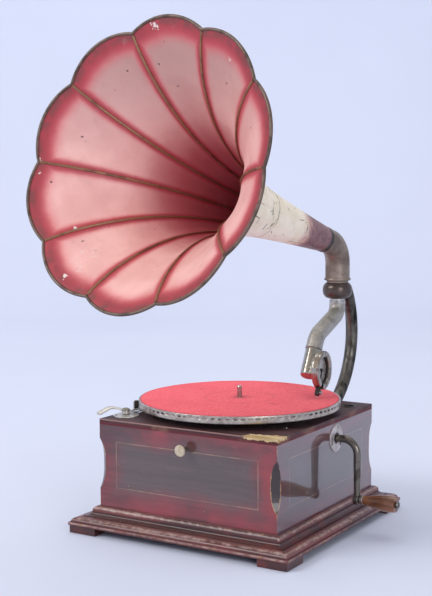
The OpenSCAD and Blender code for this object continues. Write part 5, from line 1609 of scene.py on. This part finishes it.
@dataclass
class Bracket:
    """Cast bow from the case's back up to the collar, and the collar itself."""

    pivot: Pair = PIVOT
    bow_y: float = 106.0
    bow_z: float = 265.0
    bow_r: float = 123.4
    width: float = 20.0
    depth: float = 17.5
    collar_z: float = 322.0
    collar_h: float = 25.0
    collar_r: float = 23.0
    bow_from: float = -66.0
    foot_y: float = 151.5
    foot_z: float = 137.0

    def bow(self) -> Surface:
        """Builds the bow, an arc whose section has a ridge along its outer side.

        Returns:
            The bow.
        """
        top = math.asin((self.collar_z + self.collar_h / 2 - self.bow_z) / self.bow_r)
        a = np.linspace(math.radians(self.bow_from), top + 0.03, 90)
        path = np.stack([np.full_like(a, self.pivot[0]), self.bow_y + self.bow_r * np.cos(a),
                         self.bow_z + self.bow_r * np.sin(a)], axis=1)
        t = full_turn(48)
        from_ridge = np.mod(t + math.pi, 2 * math.pi) - QUARTER
        ridge = 0.5 + 0.09 * np.exp(-(from_ridge / 0.35) ** 2)
        section = np.stack([self.width / 2 * np.sin(t + QUARTER) * (0.97 + 0.03 * np.cos(4 * t)),
                            self.depth * ridge * np.cos(t + QUARTER) * 0.97], axis=1)
        grown = 1.0 + 0.1 * np.exp(-((a - a[0]) / 0.16) ** 2)
        return sweep(path, RIGHT, section, grown)

    def joints(self) -> list[Surface]:
        """Builds the stub at the collar and the foot plate with its swelling.

        Returns:
            The stub, the swelling and the foot.
        """
        x, y = self.pivot
        start, middle = y + self.collar_r - 3, self.collar_z + self.collar_h / 2
        stub = rounded([[0, 0], [9.5, 0], [7.6, 4.5], [7.4, 17], [0, 17]], 3.0, 8)
        plate = rounded([[0, 0], [0, 0.01], [12, 0.01], [9.5, 6], [7.2, 12], [0, 13]], 2.0, 6)
        on_case = Basis(np.array([x, self.foot_y, self.foot_z]), *map(np.array, (RIGHT, UP, BACK)))
        return [lathe(stub, Basis.about((x, start, middle), BACK), 48, False),
                lathe(plate, Basis.about((x, self.foot_y + 4, self.foot_z + 12), BACK), 48, False),
                board((21, 22), 0.0, 5.0, (0, 0), 1.4).on(on_case)]

    def collar(self) -> Surface:
        """Builds the collar that the arm and the horn's elbow turn in.

        Returns:
            The collar.
        """
        low, top, r = self.collar_z, self.collar_z + self.collar_h, self.collar_r
        section = rounded([[11.9, low], [14.3, low], [17.5, low + 1.2], [21.6, low + 5],
                           [r, low + 10], [r, low + 15.5], [22.2, low + 19.5], [19.5, low + 23.4],
                           [17.6, top], [15.56, top], [15.56, 334.0], [11.9, 334.0]], 2.2, 6, True)
        return lathe(section, Basis.about((*self.pivot, 0), UP), 96)

    def dress(self) -> None:
        """Builds and dresses the bracket and its collar."""
        make_piece("bracket_casting", [self.bow(), *self.joints()], [BRACKET_METAL], "case",
                   ["bracket_arm"], 50.0)
        make_piece("collar_casting", [self.collar()], [COLLAR_METAL], "case", ["pivot_collar"],
                   30.0)


@dataclass
class ToneArm:
    """Bent arm that swings under the collar, with its crook and sound box."""

    pivot: Pair = PIVOT
    turn: float = 5.0
    start_z: float = 298.9
    knee: Pair = (86.3, 273.2)
    box: Pair = (116.0, 226.0)
    crook_len: float = 31.9
    needle_slope: float = 61.6
    shoulder: float = 334.0
    box_r: float = 28.8
    slit: Pair = (-0.17, 0.17)
    screw_h: float = 19.6

    def __post_init__(self) -> None:
        """Works out the directions and the crook's swivel."""
        a = math.radians(self.turn - 90)
        self.ahead = np.array([math.cos(a), math.sin(a), 0.0])
        self.side = np.array([-math.sin(a), math.cos(a), 0.0])
        self.foot = np.array([*self.pivot, 0.0])
        slope = math.atan2(self.knee[1] - self.box[1], self.box[0] - self.knee[0])
        self.tail = self.ahead * math.cos(slope) - np.array([0, 0, math.sin(slope)])
        self.middle = self.foot + self.ahead * self.box[0] + np.array([0, 0, self.box[1]])
        self.joint = self.middle - self.tail * self.crook_len
        n = math.radians(self.needle_slope)
        down = self.ahead * math.cos(n) - np.array([0, 0, math.sin(n)])
        self.axis = Basis.about(self.middle, self.side, down)

    def arm(self) -> Surface:
        """Builds the bent tube, with its flange and bright ring.

        Returns:
            The tube.
        """
        high = self.shoulder + 2.5
        corner = self.foot + np.array([0, 0, self.start_z])
        knee = self.foot + self.ahead * self.knee[0] + np.array([0, 0, self.knee[1]])
        path = arc_path([self.foot + np.array([0, 0, high]), corner, knee, self.joint],
                        [19, 34], 1.5)
        total = walked(path)[-1]
        ring = high - 318.4
        outside = [(0, 15), (2.4, 15), (2.5, 11.8), (ring - 0.5, 11.8), (ring, 12.7),
                   (ring + 3.4, 12.7), (ring + 4, 12.4), (total - 4.4, 12.4), (total - 4, 12.9),
                   (total - 0.5, 12.9), (total, 12.5)]
        inside = [(0, 10.3), (ring, 10.3), (ring + 6, 11.0), (total, 11.0)]
        made = tube(path, self.side, outside, inside, 64)
        d = made.marks["walked"]
        return made.marked(bright=rise(d, ring + 4.4, ring + 3.6))

    def crook(self) -> list[Surface]:
        """Builds the capped crook and the branch into the sound box.

        Returns:
            The crook and its branch.
        """
        base = Basis.about(self.joint, self.tail)
        section = rounded([[0, -9], [10.9, -9], [10.9, 0.5], [12, 0.6], [12, 44.7], [0, 44.7]],
                          [0, 0.5, 0.3, 0.8, 9.0, 0], 12)
        branch = rounded([[0, 0], [11.2, 0], [11.4, 9], [11.6, 12.2], [13.2, 15.2], [0, 15.2]],
                         [0, 1, 4, 3, 0.6, 0], 6)
        return [lathe(denser(section, 4.0), base, 72, False),
                lathe(branch, Basis.about(self.middle, self.side), 72, False)]

    def sound_box(self) -> list[Surface]:
        """Builds the sound box's back and wall, slit at the needle's side.

        Returns:
            The back, the wall and the bead round it.
        """
        r = self.box_r
        back = rounded([[11.45, 13.4], [r - 2.4, 13.4], [r, 15.8], [r, 16.4], [11.45, 15.4]],
                       [0.4, 2.4, 1.0, 0, 0.4], 6, True)
        wall = rounded([[r - 5, 15.4], [r, 15.4], [r, 21.9], [r - 2.6, 21.9], [r - 2.6, 18.6],
                        [r - 5, 18.6]], 0.4, 4, True)
        bead = rounded([[r - 0.6, 17.0], [r + 0.5, 17.3], [r + 0.5, 18.3], [r - 0.6, 18.6]],
                       0.3, 4, True)
        return [lathe(back, self.axis, 96), lathe(wall, self.axis, 96, True, 0, self.slit),
                lathe(bead, self.axis, 96, True, 0, self.slit)]

    def front_ring(self) -> list[Surface]:
        """Builds the front ring and the soft gasket inside it.

        Returns:
            The ring and the gasket.
        """
        r = self.box_r
        section = rounded([[19.5, 21.9], [r, 21.9], [r, 24.6], [r - 2.4, 25.8], [21.6, 25.6],
                           [19.6, 23.8]], [0.3, 0.3, 2.0, 1.6, 1.6, 0.8], 6, True)
        gasket = rounded([[18.3, 19.2], [22.5, 19.2], [22.5, 21.7], [18.3, 21.7]], 1.0, 6, True)
        return [lathe(section, self.axis, 96, True, 0, self.slit),
                lathe(gasket, self.axis, 96, True, 1, self.slit)]

    def chuck(self) -> list[Surface]:
        """Builds the needle's socket below the sound box, with the boss that its screw enters.

        Returns:
            The socket and its boss.
        """
        base = self.axis
        down = Basis.about(base.place(self.box_r - 0.5, 0, self.screw_h), base.u, base.w)
        socket = rounded([[0, 0], [3.6, 0], [4.1, 3], [4.1, 9.6], [3.0, 11.6], [1.0, 12.4],
                          [0, 12.4]], [0, 0.5, 1, 1.2, 1, 0.4, 0], 5)
        boss = rounded([[0, 0], [2.9, 0], [2.9, 4.9], [2.2, 5.6], [0, 5.6]], 0.5, 4)
        out = Basis.about(base.place(self.box_r + 5.5, 0, self.screw_h), base.w)
        return [lathe(socket, down, 48, False), lathe(boss, out, 32, False)]

    def dress(self) -> None:
        """Builds and dresses the arm, crook and sound box."""
        make_piece("arm_tube", [self.arm()], [ARM], "arm", ["tone_arm"])
        make_piece("crook_cap", self.crook(), [NICKEL], "sound_box", ["crook"], 45.0)
        make_piece("box_wall", self.sound_box(), [NICKEL], "sound_box", ["sound_box_body"],
                   45.0)
        make_piece("needle_socket", self.chuck(), [DARK_STEEL], "sound_box", ())
        make_piece("box_ring", self.front_ring(), [WARM_NICKEL, GASKET], "sound_box",
                   ["sound_box_ring"], 45.0)


@dataclass
class Horn:
    """Ten-panelled flaring horn with its ribs, rolled rim and elbow.

    The radius at a rib is neck(s) + flare (0.924 t^4.67 + 0.076 t^32), with s the distance
    along the axis, t its share of the horn, neck a straight widening and flare what is left at
    the mouth. Between ribs a panel swells by swell (1 - g^2), with g from -1 at one rib to 1 at
    the next. Stations along the axis crowd towards the mouth.
    """

    pivot: Pair = PIVOT
    z: float = 405.3
    tilt: float = 14.3
    turn: float = -4.2
    start: float = 48.48
    length: float = 493.0
    mouth_r: float = 179.0
    end_r: float = 19.5
    widening: float = 0.08
    panel_swell: float = 10.0
    panel_forward: float = 5.0
    panels: int = 10
    phase: float = -1.7
    wall: float = 1.0
    wire_r: float = 2.2
    rib_r: float = 1.5
    sleeve_gap: float = 3.5
    across: int = 24
    stations: int = 110
    crowding: float = 1.6
    elbow_bend: float = 36.0
    collar_top: float = 347.0

    def __post_init__(self) -> None:
        """Works out the horn's axis."""
        a, t = math.radians(self.turn - 90), math.radians(self.tilt)
        self.ahead = np.array([math.cos(a), math.sin(a), 0.0])
        self.right = np.array([-math.sin(a), math.cos(a), 0.0])
        self.axis = self.ahead * math.cos(t) + np.array([0, 0, math.sin(t)])
        self.up = -self.ahead * math.sin(t) + np.array([0, 0, math.cos(t)])
        self.origin = np.array([*self.pivot, self.z])

    def radius(self, s: Array) -> Array:
        """Returns the radius at the ribs.

        Args:
            s: Distances along the axis.

        Returns:
            The radius at each.
        """
        t = np.clip((s - self.start) / (self.length - self.start), 0, None)
        flare = self.mouth_r - self.end_r - self.widening * (self.length - self.start)
        neck = self.end_r + self.widening * (s - self.start)
        return neck + flare * (0.924 * t ** 4.67 + 0.076 * t ** 32)

    def station(self, share: Array, end: float) -> Array:
        """Returns distances along the axis: start + (end - start) (1 - (1 - share)^crowding)."""
        return self.start + (end - self.start) * (1 - (1 - share) ** self.crowding)

    def point(self, s: Array, degrees: Array, g: Array, inward: Array) -> Array:
        """Returns points of the skin, set in along its normal.

        Args:
            s: Distance along the axis.
            degrees: Turn about it.
            g: Place between two ribs, -1 to 1.
            inward: Distance in from the outer face.

        Returns:
            The points, broadcast together.
        """
        slope = (self.radius(s + 0.01) - self.radius(s - 0.01)) / 0.02
        w = np.sqrt(1 + slope ** 2)
        share = np.clip((self.radius(s) - self.end_r) / (self.mouth_r - self.end_r), 0, None) ** 1.2
        r = self.radius(s) + self.panel_swell * share * (1 - g ** 2) - inward / w
        x = s + self.panel_forward * share ** 2 * (1 - g ** 2) + inward * slope / w
        q = np.radians(degrees)
        x, r, q = np.broadcast_arrays(x, r, q)
        return (self.origin + x[..., None] * self.axis + (r * np.cos(q))[..., None] * self.right
                + (r * np.sin(q))[..., None] * self.up)

    def grid(self) -> tuple[Array, Array, Array]:
        """Works out the stations along the axis and the columns round it.

        Returns:
            Distances, turns in degrees and rib places from -1 to 1.
        """
        s = self.station(np.linspace(0, 1, self.stations)[:, None], self.length)
        i = np.arange(self.panels * self.across)[None, :]
        turn = self.phase + 360 / self.panels * i / self.across
        return s, turn, 2 * (i % self.across) / self.across - 1

    def skin(self) -> list[Surface]:
        """Builds the inner face, finish 0, and the outer face, finish 1, joined at both ends.

        The marks are smooth falls from the ribs and from the rim, both measured along the skin,
        and falls along the axis. A slow ripple dents the skin near the mouth.

        Returns:
            The inner and the outer face.
        """
        s, turn, g = self.grid()
        outer, inner = self.point(s, turn, g, 0.0), self.point(s, turn, g, self.wall)
        dents = 0.35 * ripple(inner, 46.0, 11, 14)[..., None] * rise(s, 150, 300)[..., None]
        from_origin = inner - self.origin
        away = unit(from_origin - (from_origin @ self.axis)[..., None] * self.axis)
        outer, inner = outer - away * np.abs(dents), inner - away * np.abs(dents)
        r, walk = self.radius(s), walked(np.concatenate([s, self.radius(s)], axis=1))[:, None]
        from_rim, half_panel = walk[-1] - walk, math.pi / self.panels * r
        from_rib = (1 - np.abs(g)) * half_panel
        marks = {
            "border": 0.85 - 0.85 * rise(from_rib, 1.0, 5 + 0.26 * half_panel),
            "rim": 1 - rise(from_rim + 0 * g, 2, 42),
            "throat": rise(s, 455, 300) + 0 * g, "deep": rise(s, 300, 170) + 0 * g,
            "down": s + 0 * g, "turn": np.mod((turn - self.phase) / 360, 1) + 0 * s}
        inside = Surface(np.concatenate([outer[-1:], inner[::-1], outer[:1]]))
        outside = Surface(outer, finish=1)
        for name, value in marks.items():
            inside.marks[name] = np.concatenate([value[-1:], value[::-1], value[:1]])
            outside.marks[name] = value
        return [inside, outside]

    def sleeve(self) -> Surface:
        """Builds the sleeve that plugs into the elbow.

        Returns:
            The sleeve.
        """
        section = rounded([[15.6, 0], [17.1, 0], [17.1, 15.9], [19.2, 16.1], [19.2, 20],
                           [15.6, 20]], 0.4, 4, True)
        start = self.start - self.sleeve_gap - 16
        return lathe(section, Basis.about(self.origin + self.axis * start, self.axis), 64, finish=2)

    def beads(self) -> list[Surface]:
        """Builds the rolled rim, and a bead along each rib inside the horn.

        Returns:
            The rim's wire and the ten beads.
        """
        _, turn, g = self.grid()
        rim = self.point(np.array([[self.length]]), turn, g, self.wall / 2)[0]
        q = np.radians(turn[0])
        out = np.cos(q)[:, None] * self.right + np.sin(q)[:, None] * self.up
        t = full_turn(14)[None, :, None]
        ring = rim[:, None] + self.wire_r * (np.cos(t) * out[:, None] + np.sin(t) * self.axis)
        made = [Surface(ring, True, finish=1)]
        s = self.station(np.linspace(0.12, 1, 100), self.length - 0.9)
        size = self.rib_r * (0.75 + 0.3 * rise(s, 150, 420))
        for p in range(self.panels):
            degrees = np.array([self.phase + 360 / self.panels * p])
            path = self.point(s, degrees, np.ones(1), np.array([self.wall + 0.5]))
            q = np.radians(degrees + 90)
            side = np.cos(q) * self.right + np.sin(q) * self.up
            made.append(sweep(path, side, circle(12) * [1.05, 0.85], size))
        return made

    def elbow(self) -> Surface:
        """Builds the elbow from the collar round to the horn's sleeve.

        Returns:
            The elbow.
        """
        bottom = np.array([*self.pivot, self.collar_top - 9.0])
        mouth = self.origin + self.axis * (self.start - self.sleeve_gap)
        path = arc_path([bottom, self.origin, mouth], [self.elbow_bend], 1.5)
        total = walked(path)[-1]
        outside = [(0, 15.5), (8.9, 15.5), (9, 16.5), (11.4, 16.6), (12.2, 19), (12.9, 20.4),
                   (13.6, 20.7), (14.8, 20.7), (15.5, 20.4), (16.6, 19), (total - 4, 19),
                   (total - 3, 19.9), (total - 0.8, 19.9), (total, 19.3)]
        inside = [(0, 13), (12, 13), (18, 17.2), (total, 17.2)]
        return tube(path, self.right, outside, inside, 80)

    def dress(self) -> None:
        """Builds and dresses the horn."""
        make_piece("horn_skin", [*self.skin(), self.sleeve()], [HORN_PINK, HORN_CREAM, DARK_STEEL],
                   "horn", ["horn_shell"], 60.0)
        make_piece("horn_beads", self.beads(), [BEAD_METAL, RIM_BEAD_METAL], "horn",
                   ["horn_beading"])
        make_piece("elbow_tube", [self.elbow()], [ELBOW_METAL], "horn", ["horn_elbow"])


@dataclass
class Controls:
    """Speed knob on the front, and the brake beside the turntable."""

    knob: Pair = (2.0, 137.0)
    half_d: float = 151.5
    out: float = 16.5
    radius: float = 8.3
    lever_y: float = -50.0
    eccentric: float = 3.0
    brake: Pair = (-125.0, -115.0)
    bar_z: float = 168.4
    bar_t: float = 2.4
    rising: Triple = (-7.0, -3.0, 5.0)
    crest: Triple = (-18.0, -13.0, 9.0)
    tip: Triple = (-24.0, -37.0, 1.5)
    paddle_side: Triple = (0.22, -0.32, 0.92)
    plate_r: float = 19.0
    pad_turn: float = 212.1
    pad_from: float = 150.3
    pad: Triple = (6.0, 6.5, 11.0)

    def at_rim(self, outward: float, z: float) -> Basis:
        """Makes a basis beside the platter's rim, at the pad, whose u points outwards.

        Args:
            outward: Distance out from the pad's inner face.
            z: Height.

        Returns:
            The basis.
        """
        q = math.radians(self.pad_turn)
        out = np.array([math.cos(q), math.sin(q), 0.0])
        return Basis(out * (self.pad_from + outward) + [0, 0, z], out, np.cross(UP, out),
                     np.array(UP))

    def speed_knob(self) -> list[Surface]:
        """Builds the button, its long stem and the eccentric that rocks the regulator.

        Returns:
            The button, the stem and the eccentric's pin.
        """
        x, z = self.knob
        r, face = self.radius, self.half_d + self.out
        base = Basis.about((x, 0, z), (0.0, -1.0, 0.0))
        button = rounded([[0, face - 3.8], [r - 1.8, face - 3.8], [r, face - 2.6], [r, face - 0.9],
                          [r - 1.2, face], [0, face]], [0, 0.8, 0.9, 0.9, 1.2, 0], 6)
        stem = rounded([[0, -self.lever_y + 1], [6, -self.lever_y + 1], [6, -self.lever_y + 3.6],
                        [4, -self.lever_y + 3.7], [4, face - 3.7], [0, face - 3.7]], 0.4, 4)
        pin = rounded([[0, -self.lever_y - 3.2], [2, -self.lever_y - 3.2], [2, -self.lever_y + 1.2],
                       [0, -self.lever_y + 1.2]], 0.4, 4)
        aside = Basis.about((x + self.eccentric, 0, z), base.w)
        return [lathe(button, base, 72, False), lathe(denser(stem, 4.0), base, 40, False, 1),
                lathe(pin, aside, 24, False, 1)]

    def lever(self) -> list[Surface]:
        """Builds the lever: hub, rising paddle and the bar with the pad's upturned holder.

        The paddle is an oval carried along a rounded line that climbs over its crest, and its
        end closes as a quarter ellipse.

        Returns:
            The paddle, the hub, the bar and the holder's two plates.
        """
        middle = self.bar_z + self.bar_t / 2
        start = np.array([*self.brake, middle])
        line = rounded([start, start + self.rising, start + self.crest, start + self.tip], 9.0, 12)
        path = denser(line, 1.5)
        d = walked(path)
        wide = 2.5 + 1.6 * rise(d, 14, 30) + 0.4 * rise(d, d[-1] - 8, d[-1] - 2)
        end = np.sqrt(np.clip(1 - ((d - d[-1] + 4) / 4).clip(0) ** 2, 0, 1))
        thick = 1.2 + 0.3 * rise(d, 10, 30) + 0.4 * rise(d, d[-1] - 9, d[-1] - 3)
        size = np.stack([thick * (0.3 + 0.7 * end), wide * end], axis=1)
        paddle = sweep(path, self.paddle_side, circle(24), size)
        hub = rounded([[0, 0], [6, 0], [6, self.bar_t], [4.6, self.bar_t + 0.1],
                       [4.6, self.bar_t + 1.8], [0, self.bar_t + 1.8]], 0.5, 4)
        heel = self.at_rim(self.pad[0] / 2, middle).origin
        bar = denser(np.array([start, heel]), 3.0)
        flat = np.tile([self.bar_t / 2, 3.0], (len(bar), 1))
        made = [paddle, lathe(hub, Basis.about((*self.brake, self.bar_z), UP), 56, False),
                sweep(bar, UP, circle(20), flat)]
        for half, low, high, outward in (((3.4, 4.2), 0.0, self.bar_t, self.pad[0] / 2 + 0.4),
                                         ((0.7, 3.9), 0.2, self.pad[2] + 1.4, self.pad[0] + 0.7)):
            holder = board(half, low, high, (0, 0), 0.5)
            made.append(holder.on(self.at_rim(outward, self.bar_z)))
        return made

    def plate(self) -> Surface:
        """Builds the domed round plate under the lever.

        Returns:
            The plate.
        """
        top = self.bar_z - 3.4
        section = rounded([[0, top], [self.plate_r, top], [self.plate_r, top + 1.2],
                           [self.plate_r - 2.6, top + 1.5], [self.plate_r - 4, top + 1.3],
                           [5, top + 2.6], [0, top + 2.6]], [0, 0.3, 0.8, 1.0, 1.0, 2.0, 0], 6)
        return lathe(denser(section, 3.0), Basis.about((*self.brake, 0), UP), 96, False)

    def pad_block(self) -> Surface:
        """Builds the leather block that rubs on the platter's rim.

        Returns:
            The block.
        """
        depth, wide, high = self.pad
        block = board((depth / 2, wide / 2), 0, high, (0, 0), 1.2)
        return block.on(self.at_rim(depth / 2, self.bar_z + self.bar_t))

    def dress(self) -> None:
        """Builds and dresses the knob and the brake."""
        make_piece("knob_turned", self.speed_knob(), [KNOB_CREAM, DULL_NICKEL], "knob",
                   ["speed_knob"])
        make_piece("brake_paddle", self.lever(), [PALE_NICKEL], "brake", ["brake_lever"])
        make_piece("brake_dome", [self.plate()], [PALE_NICKEL], "case", ())
        make_piece("brake_block", [self.pad_block()], [PAD_LEATHER], "brake", ["brake_pad"])


class NodeFinish(Enum):
    """Finishes of the CAD nodes that keep their own shape."""

    TOP = (TOP_BOARD, ("motor_board",))
    WOOD = (PLAIN_WOOD, ("bottom_board", "glue_blocks"))
    BRIGHT = (DULL_NICKEL, ("case_screws", "brake_plate", "spindle", "needle_screw"))
    STEEL = (STEEL, ("motor_top_plate", "motor_bottom_plate", "motor_pillars", "motor_bearings",
                     "ratchet_pawl", "second_arbor", "barrel_arbor", "ratchet_wheel",
                     "winding_shaft", "governor_shaft", "governor_worm", "regulator_lever",
                     "spring_barrel", "barrel_cover", "needle"))
    BRASS = (BRASS, ("worm_wheel", "second_wheel", "great_wheel", "crown_wheel", "friction_disc"))
    SPRING = (SPRING_STEEL, ("mainspring", "governor_springs"))
    LEAD = (LEAD, ("governor_weights",))
    DARK = (DARK_STEEL, ("stylus_bar",))
    PAD = (PAD_LEATHER, ("friction_pad",))
    MICA = (MICA, ("diaphragm",))

    def dress(self) -> None:
        """Gives its nodes the finish."""
        finish, nodes = self.value
        for name in nodes:
            if name in frame["nodes"]:
                mesh = frame["nodes"][name].data
                mesh.materials.clear()
                mesh.materials.append(finish.material())
        LOG.info("%s: %d CAD nodes", self.name, len(nodes))


def put(name: str, data: Any, right: Any, up: Any, back: Any, place: Any) -> bpy.types.Object:
    """Puts a camera or a lamp in the scene.

    Args:
        name: Its name.
        data: Its data block.
        right: Its own x direction.
        up: Its own y direction.
        back: The direction that it looks away from.
        place: Where it stands, in metres.

    Returns:
        The new object.
    """
    matrix = np.eye(4)
    matrix[:3] = np.stack([right, up, back, place], axis=1)
    holder = bpy.data.objects.new(name, data)
    holder.matrix_world = Matrix(matrix.tolist())
    bpy.context.scene.collection.objects.link(holder)
    return holder


@dataclass(frozen=True)
class Lamp:
    """A soft square lamp, with its place, its aim and its side in metres."""

    name: str
    place: Triple
    aim: Triple
    side: float
    watts: float

    def hang(self) -> None:
        """Adds the lamp, turned to its aim."""
        data = bpy.data.lights.new(self.name, "AREA")
        data.shape, data.size, data.energy = "SQUARE", self.side, self.watts
        base = Basis.about(self.place, np.asarray(self.place) - np.asarray(self.aim))
        put(self.name, data, base.v, -base.u, base.w, base.origin)


@dataclass
class Studio:
    """Pale paper bowl, soft lamps, the room's light and the camera."""

    azimuth: float = 31.44
    elevation: float = 5.60
    roll: float = -0.27
    place: Triple = (905.20, -1546.52, 509.75)
    focal_px: float = 1220.28
    height_px: float = 596.0
    sensor: float = 36.0
    sight: float = 50.0
    floor_r: float = 2.6
    curve_r: float = 1.4
    wall_h: float = 2.3
    lamps: tuple[Lamp, ...] = (
        Lamp("key", (-1.7, -2.3, 2.2), (0.0, 0.0, 0.3), 1.5, 56.0),
        Lamp("fill", (2.4, -1.7, 1.0), (0.0, 0.0, 0.3), 1.3, 24.0),
        Lamp("over", (0.2, 0.9, 3.0), (0.0, 0.3, 0.2), 2.4, 22.0),
        Lamp("wall", (-1.6, 0.9, 3.4), (-1.8, 4.0, 1.6), 1.8, 46.0))
    glow: tuple[tuple[str, float, Optional[str]], ...] = (
        ("f8f7fb", 0.62, None), ("e3e4e8", 0.5, "Is Glossy Ray"), ("dfe6f7", 1.0, "Is Camera Ray"))

    def camera(self) -> None:
        """Sets the camera: back = (sin a cos e, -cos a cos e, sin e), right = (cos a, sin a, 0)."""
        a, e, roll = (math.radians(v) for v in (self.azimuth, self.elevation, self.roll))
        back = np.array([math.sin(a) * math.cos(e), -math.cos(a) * math.cos(e), math.sin(e)])
        right = np.array([math.cos(a), math.sin(a), 0.0])
        level = np.cross(back, right)
        x = math.cos(roll) * right + math.sin(roll) * level
        data = bpy.data.cameras.new("camera")
        data.sensor_width = self.sensor
        data.lens = self.sensor * self.focal_px / self.height_px
        data.clip_end = self.sight
        place = (np.array(self.place) + FOOT) * MM
        bpy.context.scene.camera = put("camera", data, x, np.cross(back, x), back, place)

    def paper(self) -> None:
        """Builds the paper, in metres: a flat floor, a quarter round and a low wall all round."""
        q = np.linspace(0, QUARTER, 24)
        curve = np.stack([self.floor_r + self.curve_r * np.sin(q),
                          self.curve_r - self.curve_r * np.cos(q)], axis=1)
        line = np.concatenate([[[0.0, 0.0], [self.floor_r / 2, 0.0]], curve,
                               [[self.floor_r + self.curve_r, self.wall_h]]])
        turn = full_turn(96)
        out, height = line[:, :1], line[:, 1:]
        grid = np.stack(np.broadcast_arrays(out * np.cos(turn), out * np.sin(turn), height),
                        axis=-1)
        mesh = bpy.data.meshes.new("paper")
        mesh.from_pydata(grid.reshape(-1, 3), [], Surface(grid).faces())
        mesh.shade_smooth()
        mesh.materials.append(Backdrop().material())
        paper = bpy.data.objects.new("paper", mesh)
        bpy.context.scene.collection.objects.link(paper)

    def room(self) -> None:
        """Makes the room: pale to the camera, dimmer in gloss and as light on everything else."""
        g = Graph(bpy.data.worlds.new("room"))
        light = None
        for colour, strength, ray in self.glow:
            new = g.node("ShaderNodeBackground", None, {"Color": colour, "Strength": strength})
            light = g.node("ShaderNodeMixShader", None, {
                0: g.node("ShaderNodeLightPath", output=ray), 1: light, 2: new}) if ray else new
        g.node("ShaderNodeOutputWorld", None, {"Surface": light})
        bpy.context.scene.world = g.holder

    def dress(self) -> None:
        """Sets up the whole studio."""
        self.camera()
        self.paper()
        self.room()
        for lamp in self.lamps:
            lamp.hang()
        bpy.context.scene.view_settings.view_transform = "Standard"


def main() -> None:
    """Builds the gramophone, dresses it and sets up the studio."""
    logging.basicConfig(level=logging.INFO, format="%(name)s %(message)s")
    for assembly in (Case(), Turntable(), Crank(), Bracket(), ToneArm(), Horn(), Controls()):
        assembly.dress()
    for group in NodeFinish:
        group.dress()
    Studio().dress()


if __name__ == "__main__":
    main()
